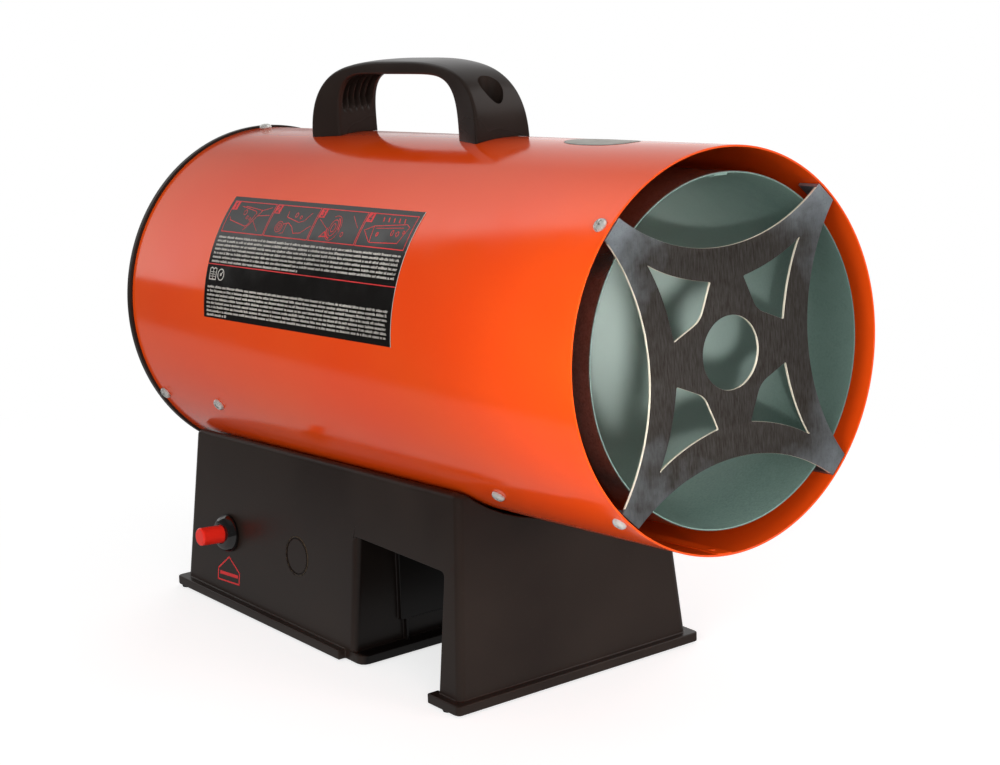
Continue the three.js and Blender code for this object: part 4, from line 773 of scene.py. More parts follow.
# The rear guard: a moulded ring over the tube's edge, five ring bars, six spokes and a domed hub.
def makeRearGuard():
    rear = {"inner": 91.2, "outer": 93.7, "lip": 96.3, "front": 379.0, "lipFront": 394.25, "back": 398.7,
            "hub": 17.0, "hubRise": 1.0, "hubCrownShare": 0.8, "bar": 3.8, "depth": 3.0, "rings": 5,
            "lastRingJoin": 0.4, "ringInset": 0.1, "spokes": 6, "spoke": 4.0, "spokeInset": 0.05,
            "spokeRoot": 3.0, "spokeJoin": 1.0}
    rim = softened([[rear["inner"], rear["front"]], [rear["outer"], rear["front"]],
                    [rear["outer"], rear["lipFront"]], [rear["lip"], rear["lipFront"]],
                    [rear["lip"], rear["back"]], [rear["inner"], rear["back"]]],
                   [0.3, 0.8, 0.1, 0.4, 1.6, 0.8], 4)
    shells = [tubeRing(rim, 224)]
    front, back = rear["back"] - rear["depth"], rear["back"]
    rounds = [0.3, 0.3, 1.2, 1.2]
    for high in np.linspace(rear["hub"], rear["inner"], rear["rings"] + 1)[1:]:
        last = rear["lastRingJoin"] if high == rear["inner"] else 0
        section = oblong(high - rear["bar"], front, high + last, back - rear["ringInset"])
        shells.append(tubeRing(softened(section, rounds, 3), 144))
    hub = softened([[0, front - rear["hubRise"]], [rear["hub"], front],
                    [rear["hub"], back - rear["ringInset"]], [rear["hub"] * rear["hubCrownShare"], back],
                    [0, back]], [0, 0.4, 1.2, 2, 0], 4)
    shells.append(tubeRing(hub, 96))
    wide = rear["spoke"] / 2
    section = softened(oblong(-wide, front, wide, back - rear["spokeInset"]), rounds, 3)
    ends = (rear["hub"] - rear["spokeRoot"], rear["inner"] + rear["spokeJoin"])
    points, faces = lofted([np.column_stack([section, np.full(len(section), level)]) for level in ends])
    pitch = 360 / rear["spokes"]
    for number in range(rear["spokes"]):
        shells.append((tubePlace(aroundTube(points, pitch * (number + 0.5))), faces))
    makePiece("rearGuard", shells, finish["charcoal"], instead=("rear_guard",))


makeRearGuard()
print("rear guard done")


# The handle is an arch between two superellipses, outer and inner: along = start + L (1 - c) / 2 with
# c = sign(cos t) |cos t|^(2/p), height = rise sin(t)^(2/q). Its section is a rounded trapezium, wide outside.
# Pointed grooves run under its rear shoulder: each is a |sin| wave across, deeper towards top and back.
def makeHandle():
    handle = {"front": 159.4, "length": 153.2, "rise": 39.85, "grip": 7.2, "foot": 22.0, "width": 25.0,
              "faceSpread": 5.0, "underSpread": 0.4, "outerPowers": (3.3, 2.7), "innerPowers": (6.0, 3.4),
              "edge": 2.0, "crown": 0.5, "shoulderShare": 1.2, "topShare": 0.86, "stations": 110,
              "smoothTurn": 42, "seat": 0.1, "seatReach": 9.0, "sink": 5.0, "flutes": 5, "fluteDepth": 5.0,
              "fluteHalfSpan": 9.8, "fluteLow": 11.0, "fluteHigh": 19.0, "fluteFrom": 24.0, "fluteRun": 16.0,
              "flutePower": 0.7, "fluteGain": 1.2, "pocketRadius": 6.2, "pocketInset": 8.6,
              "pocketFloor": 14.0, "pocketTop": 55.0}
    radius = casing["radius"]
    front, back = handle["front"], handle["front"] + handle["length"]
    t = np.linspace(0, math.pi, handle["stations"])

    def arch(start, length, rise, powers):
        across = np.sign(np.cos(t)) * np.abs(np.cos(t)) ** (2 / powers[0])
        height = radius + rise * np.abs(np.sin(t)) ** (2 / powers[1])
        return np.column_stack([start + length * (1 - across) / 2, height])

    out = arch(front, handle["length"], handle["rise"], handle["outerPowers"])
    under = arch(front + handle["foot"], handle["length"] - 2 * handle["foot"],
                 handle["rise"] - handle["grip"], handle["innerPowers"])
    spread = 1 - np.sin(t)
    wide = handle["width"] / 2 + spread * handle["faceSpread"]
    narrow = handle["width"] / 2 + spread * handle["underSpread"]
    span, flutesFrom = handle["fluteHalfSpan"], (front + back) / 2 + handle["fluteFrom"]
    face = np.linspace(-1, 1, 15)[1:-1]
    lower = np.linspace(-1, 1, 61)[1:-1]
    sections = []
    for i in range(len(t)):
        depth = np.linalg.norm(out[i] - under[i])
        inward = (under[i] - out[i]) / depth
        shoulder = handle["crown"] * handle["shoulderShare"]
        shape = softened([[-wide[i], shoulder], [wide[i], shoulder], [narrow[i], depth], [-narrow[i], depth]],
                         handle["edge"], 5)
        top = np.column_stack([wide[i] * face * handle["topShare"], handle["crown"] * face ** 2])
        x = lower * (narrow[i] - handle["edge"])
        low = (under[i][1] - radius - handle["fluteLow"]) / (handle["fluteHigh"] - handle["fluteLow"])
        reach = np.clip(low, 0, 1) * np.clip((under[i][0] - flutesFrom) / handle["fluteRun"], 0, 1)
        wave = np.abs(np.sin(math.pi * handle["flutes"] * (x + span) / (2 * span))) ** handle["flutePower"]
        wave = np.where(np.abs(x) < span, wave, 0)
        carved = handle["fluteDepth"] * reach * np.clip((wave - (1 - reach) ** 2) * handle["fluteGain"], 0, 1)
        bottom = np.column_stack([x, depth - carved])[::-1]
        section = np.concatenate([shape[0:6], top, shape[6:12], shape[12:18], bottom, shape[18:24]])
        sections.append(np.column_stack([section[:, 0], out[i] + section[:, 1:2] * inward]))
    sections = np.array(sections)
    feet = sections[[0, -1]]
    feet[:, :, 2] = radius - handle["sink"]
    points, faces = lofted(np.concatenate([feet[:1], sections, feet[1:]]))
    piece = makePiece("carryHandle", [(tubePlace(points), faces)], finish["grip"],
                      instead=("handle",), angle=handle["smoothTurn"])
    seat = oblong(0, front - handle["seatReach"], radius + handle["seat"], back + handle["seatReach"])
    pocket = oblong(0, radius + handle["pocketFloor"], handle["pocketRadius"], radius + handle["pocketTop"])
    places = (front + handle["pocketInset"], back - handle["pocketInset"])
    cutters = [tubeRing(seat, 256)] + [tubeStud(pocket, 56, 0, along) for along in places]
    carve(piece, cutters, handle["smoothTurn"])


makeHandle()
print("handle done")


label = {"left": 313.5, "top": 45.4, "bottom": 87.0, "length": 175.2, "stretch": 1.013, "face": 95.22,
         "foot": 95.02, "steps": 44, "endInset": 1.0}


# The label's own places: across from its left edge, down from its top edge, and off its face. It wraps the
# tube, so down turns into an angle, down / face radius, and across runs towards the outlet.
def labelPlace(points):
    across, down, lift = np.asarray(points, float).reshape(-1, 3).T
    angle = np.radians(label["top"]) + down / label["face"]
    radius = label["face"] + lift
    along = label["left"] - across * label["stretch"]
    return tubePlace(np.column_stack([-radius * np.sin(angle), along, radius * np.cos(angle)]))


# A thin printed line from start to end, laid in short steps so that it follows a curved face.
def inkLine(start, end, width, lift=0.02, step=3.0, overlap=0.5):
    start, end = np.asarray(start, float), np.asarray(end, float)
    length = np.linalg.norm(end - start)
    way = (end - start) / length
    start, end = start - way * width * overlap, end + way * width * overlap
    count = max(2, int(math.ceil(length / step)) + 1)
    t = np.linspace(0, 1, count)[:, None]
    middle = start + t * (end - start)
    across = np.array([-way[1], way[0]]) * width / 2
    rows = []
    for side, level in ((1, 0.0), (-1, 0.0), (-1, lift), (1, lift)):
        rows.append(np.column_stack([middle + side * across, np.full(count, level)]))
    return lofted(np.stack(rows, 1))


# Lines from each point to the next.
def inkPath(points, width, closed=False, **settings):
    points = list(points) + ([points[0]] if closed else [])
    return [inkLine(a, b, width, **settings) for a, b in zip(points[:-1], points[1:])
            if np.linalg.norm(np.subtract(a, b)) > 1e-6]


# An ellipse, or a part of one between two turns.
def inkRing(centre, radiusA, radiusB, width, turns=(0, 360), steps=22):
    start, end = np.radians(turns)
    circle = arcPoints((0, 0), 1.0, start, end, steps)
    return inkPath(circle * [radiusA, radiusB] + centre, width, overlap=0.1)


# Numerals as strokes in a box one wide and two high.
numerals = {1: [[(0.2, 0.5), (0.6, 0), (0.6, 2)]],
            2: [[(0, 0.4), (0.3, 0), (0.8, 0), (1, 0.5), (0, 2), (1, 2)]],
            3: [[(0, 0), (1, 0), (0.5, 0.8), (1, 1.2), (1, 1.7), (0.6, 2), (0, 1.9)]],
            4: [[(0.8, 2), (0.8, 0), (0, 1.4), (1.1, 1.4)]]}


# Four outlined panels of plain line drawings, each with a number in its corner tab. The drawings' points are
# shares of a panel's inside.
def labelPanels():
    panel = {"left": 3.0, "top": 3.0, "width": 41.2, "step": 42.4, "height": 18.6, "line": 0.55, "tab": 5.4,
             "margin": 2.0, "numeralLeft": 1.7, "numeralTop": 0.9, "numeralWidth": 1.9, "numeralRise": 1.8,
             "numeralPen": 0.62, "pen": 0.42, "thin": 0.3}
    red, black = [], []
    pen, thin = panel["pen"], panel["thin"]
    for number in range(4):
        x, y = panel["left"] + number * panel["step"], panel["top"]
        red += inkPath(oblong(x, y, x + panel["width"], y + panel["height"]), panel["line"], closed=True)
        tab = x + panel["tab"] / 2
        red.append(inkLine((tab, y), (tab, y + panel["tab"]), panel["tab"], overlap=0))
        left, top = x + panel["numeralLeft"], y + panel["numeralTop"]
        for stroke in numerals[number + 1]:
            points = [(left + panel["numeralWidth"] * a, top + panel["numeralRise"] * b) for a, b in stroke]
            black += inkPath(points, panel["numeralPen"], lift=0.04)

        def at(a, b):
            wide, high = panel["width"] - 2 * panel["margin"], panel["height"] - 2 * panel["margin"]
            return x + panel["margin"] + a * wide, y + panel["margin"] + b * high

        if number == 0:
            red += inkPath([at(0.02, 0.55), at(0.05, 0.66), at(0.5, 0.86), at(0.56, 0.8), at(0.66, 0.3),
                            at(0.62, 0.22), at(0.2, 0.06)], pen)
            red += inkRing(at(0.36, 0.3), 1.5, 1.5, pen) + inkRing(at(0.46, 0.5), 0.9, 0.9, pen)
            red += inkRing(at(0.55, 0.55), 0.7, 0.7, pen)
            red += inkPath([at(0.3, 0.05), at(0.78, 0.16), at(0.6, 0.78), at(0.5, 1.0)], pen)
            red += inkPath([at(0.78, 0.16), at(0.98, 0.02)], pen)
            red += inkPath([at(0.72, 0.4), at(1.0, 0.34)], pen)
            red += inkPath([at(0.66, 0.62), at(0.86, 1.0)], thin)
        elif number == 1:
            red += inkPath([at(0.32, 0.1), at(0.34, 0.34), at(0.68, 0.5), at(0.8, 0.42), at(0.9, 0.1)], pen)
            red += inkRing(at(0.55, 0.22), 1.1, 1.3, pen) + inkRing(at(0.68, 0.3), 0.8, 0.9, pen)
            for size in (1.0, 2.0, 3.1):
                red += inkRing(at(0.24, 0.74), size * 1.1, size, thin)
            red += inkPath([at(0.32, 0.62), at(0.44, 0.56), at(0.56, 0.7), at(0.66, 0.94), at(0.82, 0.9),
                            at(1, 0.6)], pen)
            red += inkPath([at(0.4, 0.6), at(0.4, 0.96), at(0.3, 1.0)], thin)
        elif number == 2:
            dial = at(0.42, 0.58)
            red += inkRing(dial, 3.4, 4.6, pen) + inkRing(dial, 1.7, 2.4, pen)
            red += inkRing(dial, 6.2, 7.0, thin, (-120, 150))
            red += inkRing(dial, 5.0, 5.9, 1.0, (95, 175)) + inkRing(dial, 4.8, 5.8, 0.9, (-70, 10))
            red += inkPath([at(0.26, 0.76), at(0.18, 0.96), at(0.34, 0.92)], 0.7, closed=True)
            red += inkPath([at(0.02, 0.3), at(0.26, 0.62)], thin)
            red += inkPath([at(0.76, 0.05), at(0.98, 0.5)], thin)
            red += inkRing(at(0.68, 0.8), 1.0, 1.2, pen)
        else:
            red += inkPath([at(0.02, 0.55), at(0.2, 0.36), at(0.9, 0.2), at(0.98, 0.3), at(0.86, 0.92),
                            at(0.24, 0.98), at(0.2, 0.36)], pen)
            red += inkPath([at(0.02, 0.55), at(0.22, 0.96)], pen)
            red += inkPath([at(0.26, 0.44), at(0.86, 0.34)], thin)
            red += inkRing(at(0.34, 0.66), 0.7, 0.9, 0.7) + inkRing(at(0.66, 0.56), 0.9, 1.5, pen)
            red += inkRing(at(0.78, 0.58), 1.0, 1.3, pen) + inkRing(at(0.9, 0.5), 0.6, 0.8, pen)
            for share in (0.32, 0.44, 0.56, 0.68, 0.8):
                red += inkPath([at(share, 0.02), at(share + 0.02, 0.14)], 0.8)
    return red, black


# Lines of small blocks that stand for print too fine to read. Each row has words of blocks at two heights,
# some with a bar at their top, middle or foot.
def printRows(top, rows, spacing, right, lastShare, seed):
    fine = {"left": 3.2, "letters": (2, 13), "low": 1.0, "tall": 1.34, "tallShare": 0.16,
            "width": (0.34, 0.5), "barsShare": 0.5, "barShares": [0.12, 0.5, 0.88], "barLength": 0.7,
            "barWidth": 0.24, "gap": (0.24, 0.4), "wordGap": 0.75}
    chance = np.random.default_rng(seed)
    left, marks = fine["left"], []
    for row in range(rows):
        x, foot = left, top + row * spacing + fine["tall"]
        limit = left + (right - left) * (lastShare if row == rows - 1 else 1.0)
        while x < limit:
            for _ in range(int(chance.integers(*fine["letters"]))):
                if x > limit:
                    break
                high = fine["tall"] if chance.random() < fine["tallShare"] else fine["low"]
                width = chance.uniform(*fine["width"])
                marks.append(inkLine((x, foot - high), (x, foot), width, overlap=0))
                if chance.random() < fine["barsShare"]:
                    bar = foot - high * chance.choice(fine["barShares"])
                    marks.append(inkLine((x, bar), (x + fine["barLength"], bar), fine["barWidth"], overlap=0))
                x += width + chance.uniform(*fine["gap"])
            x += fine["wordGap"]
    return marks


# A small open booklet and a dial, both plain, stand for the pictures beside the second block of print.
def labelSigns(top):
    sign = {"left": 3.6, "high": 6.4, "page": 3.2, "fold": 0.8, "lift": 0.6, "peak": 1.6, "pen": 0.55,
            "foldPen": 0.45, "lines": (2.4, 3.6, 4.8), "lineInset": 0.7, "lineEdge": 0.9, "linePen": 0.3,
            "dial": 11.2, "dialRadius": 3.0, "dialDrop": 0.2, "dialPen": 0.6, "hub": 0.5, "hand": 1.5,
            "handPen": 0.5}
    left, page, foot = sign["left"], sign["page"], top + sign["high"]
    fold, edge = left + page, top + sign["lift"]
    signs = inkPath([(left, edge), (left + sign["peak"], top), (fold, top + sign["fold"]),
                     (fold + sign["peak"], top), (fold + page, edge), (fold + page, foot), (left, foot)],
                    sign["pen"], closed=True)
    signs += inkPath([(fold, top + sign["fold"]), (fold, foot)], sign["foldPen"])
    for line in sign["lines"]:
        for start, end in ((left + sign["lineEdge"], fold - sign["lineInset"]),
                           (fold + sign["lineInset"], fold + page - sign["lineEdge"])):
            signs += inkPath([(start, top + line), (end, top + line)], sign["linePen"])
    middle = (left + sign["dial"], top + sign["high"] / 2 + sign["dialDrop"])
    signs += inkRing(middle, sign["dialRadius"], sign["dialRadius"], sign["dialPen"], steps=28)
    signs += inkRing(middle, sign["hub"], sign["hub"], sign["dialPen"], steps=10)
    signs += inkPath([middle, (middle[0] + sign["hand"], middle[1] - sign["hand"])], sign["handPen"])
    return signs


# The film is a thin curved sheet. Its print lies on it: panels, two blocks of print, signs and a divider.
def makeLabel():
    layout = {"divider": 40.1, "dividerLeft": 0.6, "dividerInset": 1.4, "dividerPen": 0.55, "signs": 42.0,
              "edgeInset": 0.8, "edgePen": 0.4}
    blocks = ({"top": 24.0, "rows": 7, "spacing": 2.28, "right": 171.5, "lastShare": 0.5, "seed": 3},
              {"top": 51.6, "rows": 8, "spacing": 2.16, "right": 170.5, "lastShare": 0.12, "seed": 5})
    high = math.radians(label["bottom"] - label["top"]) * label["face"]
    count = label["steps"]
    down = np.linspace(0, high, count)
    sections = []
    for x in (0.0, label["length"] - label["endInset"]):
        top = np.column_stack([np.full(count, x), down, np.zeros(count)])
        foot = np.column_stack([np.full(count, x), down[::-1], np.full(count, label["foot"] - label["face"])])
        sections.append(np.concatenate([top, foot]))
    points, faces = lofted(sections)
    makePiece("instructionLabel", [(labelPlace(points), faces)], finish["labelFilm"],
              instead=("instruction_label",))
    red, black = labelPanels()
    red.append(inkLine((layout["dividerLeft"], layout["divider"]),
                       (label["length"] - layout["dividerInset"], layout["divider"]), layout["dividerPen"]))
    white = printRows(**blocks[0]) + labelSigns(layout["signs"]) + printRows(**blocks[1])
    edge = label["length"] - layout["edgeInset"]
    white.append(inkLine((edge, 0), (edge, high), layout["edgePen"], overlap=0))
    for name, marks, look in (("labelRedPrint", red, "redInk"), ("labelWhitePrint", white, "whiteInk"),
                              ("labelNumerals", black, "labelFilm")):
        makePiece(name, [(labelPlace(points), faces) for points, faces in marks], finish[look])


makeLabel()
print("label done")


# An oval sticker on the tube's top, its pale film on a darker edge. Sections across it narrow towards both
# ends as (1 - |s|^p)^(1/p).
def makeSticker():
    oval = {"middle": 82.8, "halfLength": 23.8, "halfWidth": 11.2, "edge": 0.8, "stations": 61, "columns": 17,
            "power": 2.4, "least": 1e-3, "edgeLifts": (0.02, 0.14), "faceLifts": (0.1, 0.18)}

    def disc(inset, low, high):
        s = np.cos(np.linspace(math.pi, 0, oval["stations"]))
        width = (oval["halfWidth"] - inset) * (1 - np.abs(s) ** oval["power"]) ** (1 / oval["power"])
        sections = []
        for share, half in zip(s, np.maximum(width, oval["least"])):
            across = np.linspace(-1, 1, oval["columns"]) * half / casing["radius"]
            along = np.full(len(across), oval["middle"] + share * (oval["halfLength"] - inset))
            sides = []
            for lift, angles in ((high, across), (low, across[::-1])):
                radius = casing["radius"] + lift
                sides.append(np.column_stack([-radius * np.sin(angles), along, radius * np.cos(angles)]))
            sections.append(np.concatenate(sides))
        points, faces = lofted(sections)
        return tubePlace(points), faces

    makePiece("ovalStickerEdge", [disc(0.0, *oval["edgeLifts"])], finish["stickerEdge"])
    makePiece("ovalStickerFace", [disc(oval["edge"], *oval["faceLifts"])], finish["stickerFilm"])


makeSticker()


# The base: the moulded housing with its edges rounded, and the parts that show on or through it.
def makeBase():
    cleanCopy("base_housing", "baseHousing", finish["charcoal"], width=0.7, segments=3)
    cleanCopy("bottom_plate", "bottomPlate", finish["sheet"], width=0.25)
    for number in range(1, 5):
        cleanCopy(f"foot_{number}", f"rubberFoot_{number}", finish["rubber"], width=0.35)
    for number in (1, 2):
        cleanCopy(f"plate_screw_{number}", f"plateScrew_{number}", finish["zinc"], width=0.2)
        cleanCopy(f"casing_bolt_{number}", f"casingBolt_{number}", finish["zinc"], width=0.3)


makeBase()
print("base done")

flank = {"halfWidth": 76.4, "draft": math.radians(5), "button": (338.9, 41.1), "knockout": (268.2, 44.3)}


# A place on the left flank's leaning face: along the base, up its height, and out from the face.
def flankPlace(points):
    along, height, out = np.asarray(points, float).reshape(-1, 3).T
    x = -(flank["halfWidth"] - height * math.tan(flank["draft"])) - out * math.cos(flank["draft"])
    return basePlace(np.column_stack([x, along, height + out * math.sin(flank["draft"])]))


# A profile of (radius, out) pairs carried round an axis that stands square to the flank, at (along, height).
def flankTurned(profile, steps, centre):
    points, faces = revolved(profile, steps)
    height = centre[1] + points[:, 2] * math.cos(flank["draft"])
    return flankPlace(np.column_stack([centre[0] + points[:, 0], height, points[:, 1]])), faces


# The button is a hollow stem with a collar, and its bezel a ring nut with a sloping face.
def makeButton():
    button = {"radius": 5.1, "collar": 6.1, "inner": 2.3, "back": 2.8, "collarTop": 4.5, "out": 19.5,
              "crown": 0.25, "socket": 7.8, "round": 1.3}
    profile = softened([[button["inner"], button["back"]], [button["collar"], button["back"]],
                        [button["collar"], button["collarTop"]], [button["radius"], button["collarTop"]],
                        [button["radius"], button["out"]], [0, button["out"] - button["crown"]],
                        [0, button["socket"]], [button["inner"], button["socket"]]],
                       [0.1, 0.3, 0.3, 0.1, button["round"], 0, 0, 0.1], 5)
    makePiece("pushButton", [flankTurned(profile, 64, flank["button"])], finish["red"],
              "button", ("push_button",))
    bezel = {"bore": 8.3, "radius": 10.85, "depth": 6.0, "lip": 5.42, "lipBack": 5.1, "seat": 0.3,
             "step": 1.9, "slope": 2.0, "slopeDrop": 0.5}
    ring = softened([[bezel["bore"], bezel["seat"]], [bezel["radius"], bezel["seat"]],
                     [bezel["radius"], bezel["step"]],
                     [bezel["radius"] - bezel["slope"], bezel["depth"] - bezel["slopeDrop"]],
                     [bezel["lip"], bezel["depth"]], [bezel["lip"], bezel["lipBack"]],
                     [bezel["bore"], bezel["lipBack"]]], [0.1, 0.5, 0.9, 2.4, 0.5, 0.1, 0.1], 6)
    makePiece("buttonBezel", [flankTurned(ring, 96, flank["button"])], finish["gloss"],
              instead=("button_bezel",))


makeButton()


# A plain outline with a bar, printed below the button, and the knock-out beside it: a shallow groove and the
# pale line round it.
def makeFlankSign():
    sign = {"outline": [(338.4, 27.0), (349.7, 18.2), (350.0, 11.7), (327.2, 13.3), (327.0, 20.0)],
            "pen": 0.9, "bar": [(347.9, 16.1), (328.7, 17.5)], "barPen": 1.9, "lift": 0.04, "clear": 0.01,
            "ringRound": 0.05}
    rings = {"knockoutWeb": {"span": (9.98, 10.52), "floor": -0.45, "top": -0.03, "look": "charcoal"},
             "knockoutLine": {"span": (10.62, 10.88), "floor": -0.2, "top": 0.04, "look": "pale"}}
    for name, ring in rings.items():
        low, high = ring["span"]
        section = softened(oblong(low, ring["floor"], high, ring["top"]), sign["ringRound"], 2)
        makePiece(name, [flankTurned(section, 96, flank["knockout"])], finish[ring["look"]])
    marks = inkPath(sign["outline"], sign["pen"], closed=True, lift=sign["lift"])
    marks += inkPath(sign["bar"], sign["barPen"], lift=sign["lift"], overlap=0)
    makePiece("flankSign", [(flankPlace(points + [0, 0, sign["clear"]]), faces) for points, faces in marks],
              finish["redInk"])


makeFlankSign()
print("button done")

# Solids whose own shape is right: copies with joined faces and smooth rounds. The last number rounds edges.
copies = [
    ("motor_bracket", "motorBracket", "sheet", "galvanised", 0.3),
    ("motor", "motorCan", "alloy", "alloy", 0.5),
    ("motor_shaft", "motorShaft", "zinc", "zinc", 0.3),
    ("burner_cup", "burnerCup", "plate", "guard_plate", 0.0),
    ("burner_bracket", "burnerBracket", "plate", "guard_plate", 0.3),
    ("gas_nozzle", "gasNozzle", "brass", "brass", 0.3),
    ("electrode_insulator", "electrodeInsulator", "ceramic", "ceramic", 0.3),
    ("spark_electrode", "sparkElectrode", "zinc", "zinc", 0.0),
    ("overheat_thermostat", "overheatThermostat", "brass", "brass", 0.4),
    ("gas_valve", "gasValve", "brass", "brass", 0.4),
    ("valve_spindle", "valveSpindle", "zinc", "zinc", 0.2),
    ("return_spring", "returnSpring", "zinc", "zinc", 0.0),
    ("microswitch", "microswitchBody", "charcoal", "charcoal_plastic", 0.4),
    ("inlet_pipe", "inletPipe", "copper", "copper", 0.3),
    ("gas_inlet_fitting", "gasInlet", "brass", "brass", 0.4),
    ("rocker_housing", "rockerHousing", "gloss", "charcoal_plastic", 0.35),
    ("power_rocker", "powerRocker", "red", "red_plastic", 0.35),
    ("cable_gland", "cableGland", "rubber", "rubber", 0.5),
    ("grommet", "leadGrommet", "rubber", "rubber", 0.3),
    ("burner_pipe", "burnerPipe", "copper", "copper", 0.0),
    ("ignition_lead", "ignitionLead", "rubber", "rubber", 0.0),
    ("thermocouple", "thermocoupleProbe", "copper", "copper", 0.0),
    ("ignition_module", "ignitionModule", "gloss", "gloss_black", 0.8),
    ("terminal_block", "terminalBlock", "ceramic", "ceramic", 0.6),
    ("fan", "fanBlades", "alloy", "alloy", 0.3),
]
riders = {"motor_shaft": "rotor", "fan": "rotor", "valve_spindle": "button", "power_rocker": "rocker"}
for node, name, look, slot, width in copies:
    cleanCopy(node, name, finish[look], riders.get(node, "body"), width)
print("copies done:", len(copies))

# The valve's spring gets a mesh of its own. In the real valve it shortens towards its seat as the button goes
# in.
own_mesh(bpy.data.objects["returnSpring"])


# One where the camera looks, straight or through glass, and one where a gloss looks.
def rays(tree):
    path = addNode(tree, "ShaderNodeLightPath").outputs
    seen = worked(tree, "ADD", path["Is Camera Ray"], path["Is Transmission Ray"], use_clamp=True)
    return seen, path["Is Glossy Ray"]


# White light that comes from the surface itself.
def whiteGlow(tree, strength):
    return addNode(tree, "ShaderNodeEmission", {"Color": (1, 1, 1, 1), "Strength": strength}).outputs[0]


# The floor is pale and keeps the object's shadow, which fades into white with the distance. Seen in gloss it
# is white only as far as the table's edge.
def makeFloor():
    stage = {"size": 30.0, "colour": (192, 192, 192), "lift": 0.68, "grainScale": 120.0,
             "grainStrength": 0.05, "grainDepth": 0.2, "tableSide": (-0.33, -0.29),
             "tableFront": (-1.05, -0.45), "gloss": 0.36, "dim": 0.1, "shadowStretch": (1, 0.8, 0),
             "shadow": (0.16, 0.5)}
    half = stage["size"] / 2
    mesh = bpy.data.meshes.new("floor")
    mesh.from_pydata([(x, y, 0) for x, y in oblong(-half, -half, half, half)], [], [(0, 1, 2, 3)])
    floor = bpy.data.objects.new("floor", mesh)
    bpy.context.scene.collection.objects.link(floor)
    material, tree, shader = newFinish("floorPaper", rough=0.9, specular=0.0)
    shader.inputs["Base Color"].default_value = paint(*stage["colour"])
    at, paper = coordinates(tree), shader.outputs[0]
    bumped(tree, shader, noise(tree, at, stage["grainScale"]), stage["grainStrength"], stage["grainDepth"])
    split = parted(tree, at)
    side = ramp(tree, split["X"], 0, 1, *stage["tableSide"])
    near = ramp(tree, split["Y"], 0, 1, *stage["tableFront"])
    white = ramp(tree, worked(tree, "MULTIPLY", side, near), stage["dim"], stage["gloss"], 0, 1)
    flat = workedVector(tree, "MULTIPLY", at, stage["shadowStretch"])
    fade = ramp(tree, workedVector(tree, "LENGTH", flat), 0, 1, *stage["shadow"])
    lit = addNode(tree, "ShaderNodeAddShader", {0: paper, 1: whiteGlow(tree, stage["lift"])}).outputs[0]
    seen, glossy = rays(tree)

    def blend(share, first, second):
        return addNode(tree, "ShaderNodeMixShader", {0: share, 1: first, 2: second}).outputs[0]

    whole = blend(seen, blend(glossy, paper, whiteGlow(tree, white)), blend(fade, lit, whiteGlow(tree, 1.0)))
    tree.links.new(whole, tree.nodes["Material Output"].inputs["Surface"])
    mesh.materials.append(material)


makeFloor()


# The world is white where the camera looks, an even grey for soft light, and in gloss a white backdrop behind
# the heater with the dim room beyond its edge and one soft box high on the right.
def makeWorld():
    room = {"soft": 0.31, "sky": (1.0, 0.48), "skySpan": (0.05, 0.6), "side": (2.3, 0.75),
            "sideSpan": (-0.3, 0.3), "far": (1.6, 0.55), "farSpan": (0.78, 0.9), "dim": 0.1,
            "towards": (0.6, 0.8, 0.0), "edgeSpan": (0.435, 0.485), "overhead": 0.16,
            "overheadSpan": (0.6, 0.9), "softBox": (0.57, -0.46, 0.68), "boxLight": 1.35,
            "boxSpan": (0.84, 0.95)}
    world = bpy.data.worlds.new("studio")
    bpy.context.scene.world = world
    world.use_nodes = True
    tree = world.node_tree
    tree.nodes.clear()
    way = addNode(tree, "ShaderNodeTexCoord").outputs["Generated"]
    split = parted(tree, way)
    backdrop = ramp(tree, split["Z"], *room["sky"], *room["skySpan"])
    for axis, tones, span in (("X", room["side"], room["sideSpan"]), ("Y", room["far"], room["farSpan"])):
        backdrop = worked(tree, "MULTIPLY", backdrop, ramp(tree, split[axis], *tones, *span))
    facing = workedVector(tree, "DOT_PRODUCT", way, room["towards"])
    behind = shared(tree, ramp(tree, facing, 0, 1, *room["edgeSpan"]), room["dim"], backdrop)
    above = ramp(tree, split["Z"], 0, room["overhead"], *room["overheadSpan"])
    facing = workedVector(tree, "DOT_PRODUCT", way, room["softBox"])
    box = ramp(tree, facing, 0, room["boxLight"], *room["boxSpan"])
    gloss = worked(tree, "MAXIMUM", worked(tree, "MAXIMUM", behind, above), box)
    seen, glossy = rays(tree)
    strength = shared(tree, seen, shared(tree, glossy, room["soft"], gloss), 1.0)
    light = addNode(tree, "ShaderNodeBackground", {"Color": (1, 1, 1, 1), "Strength": strength})
    addNode(tree, "ShaderNodeOutputWorld", {"Surface": light.outputs[0]})


makeWorld()


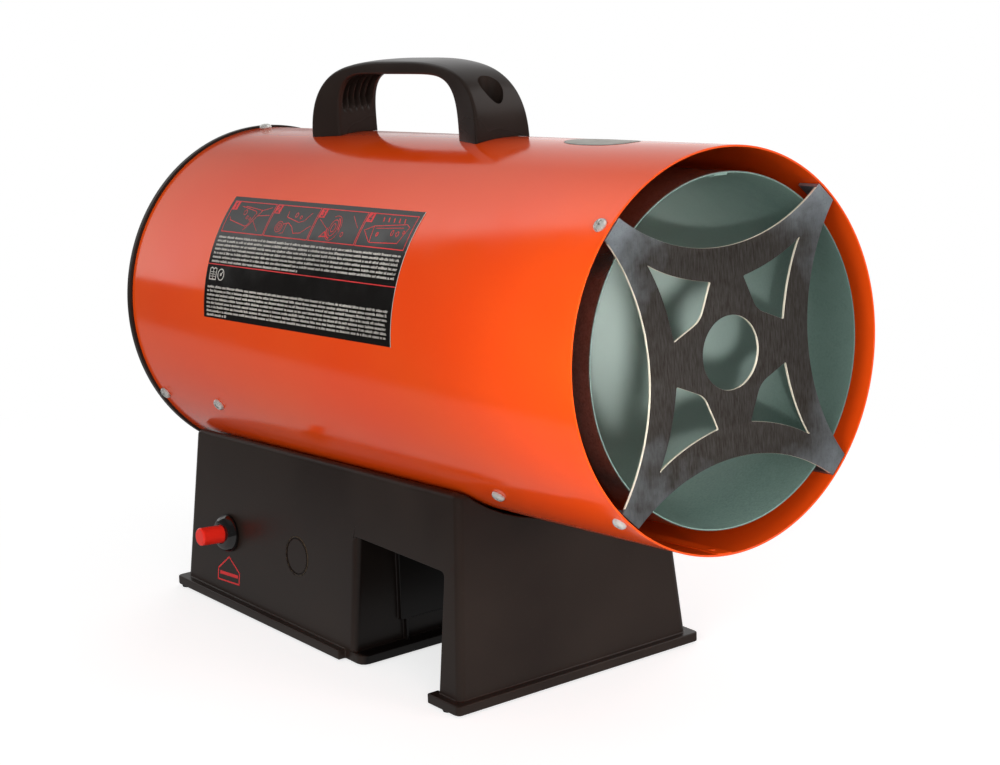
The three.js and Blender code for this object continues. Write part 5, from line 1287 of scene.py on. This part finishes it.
# A white lamp at a place, its light towards another, that shows in no gloss.
def aimLamp(light, at, towards, power):
    light.energy = power
    light.color = (1.0, 1.0, 1.0)
    holder = bpy.data.objects.new(light.name, light)
    bpy.context.scene.collection.objects.link(holder)
    turn = (Vector(towards) - Vector(at)).to_track_quat("-Z", "Y")
    holder.matrix_world = Matrix.Translation(Vector(at)) @ turn.to_matrix().to_4x4()
    holder.visible_glossy = False


# Soft boxes, each aimed at the heater's middle, and a narrow beam through the outlet on the tube's hot wall.
def makeLamps():
    middle = (0, 0, 0.16)
    lamps = {"keyLeft": {"at": (-1.7, -0.75, 0.65), "size": 1.2, "power": 17.5},
             "nearCamera": {"at": (-0.85, -1.75, 0.6), "size": 0.9, "power": 12.3},
             "fillFront": {"at": (0.9, -1.8, 0.25), "size": 1.0, "power": 25.0},
             "backRight": {"at": (1.8, 1.2, 1.0), "size": 1.4, "power": 13.0},
             "topSoft": {"at": (0.1, 0.1, 2.2), "size": 1.8, "power": 4.0}}
    for name, lamp in lamps.items():
        light = bpy.data.lights.new(name, "AREA")
        light.shape = "SQUARE"
        light.size = lamp["size"]
        aimLamp(light, lamp["at"], middle, lamp["power"])
    beam = {"at": (-0.95, -1.35, 0.36), "towards": (-0.045, -0.2, 0.186), "cone": 5.2, "soft": 0.8,
            "radius": 0.06, "power": 185.0}
    light = bpy.data.lights.new("outletBeam", "SPOT")
    light.spot_size = math.radians(beam["cone"])
    light.spot_blend = beam["soft"]
    light.shadow_soft_size = beam["radius"]
    aimLamp(light, beam["at"], beam["towards"], beam["power"])


makeLamps()


# The camera's place and turn, as its right, up and backward directions.
def makeCamera():
    view = {"at": (-0.70957, -0.95629, 0.44155), "lens": 83.337, "sensor": 36.0,
            "right": (0.791015, -0.611048, -0.030249), "up": (0.172253, 0.174997, 0.969384),
            "back": (-0.587047, -0.772008, 0.243680)}
    camera = bpy.data.cameras.new("camera")
    camera.lens = view["lens"]
    camera.sensor_width = view["sensor"]
    camera.sensor_fit = "HORIZONTAL"
    camera.clip_start = 0.05
    holder = bpy.data.objects.new("camera", camera)
    bpy.context.scene.collection.objects.link(holder)
    turn = Matrix((view["right"], view["up"], view["back"])).transposed()
    holder.matrix_world = Matrix.Translation(view["at"]) @ turn.to_4x4()
    bpy.context.scene.camera = holder


makeCamera()
bpy.context.scene.view_settings.view_transform = "Standard"
print("stage, lamps and camera done")
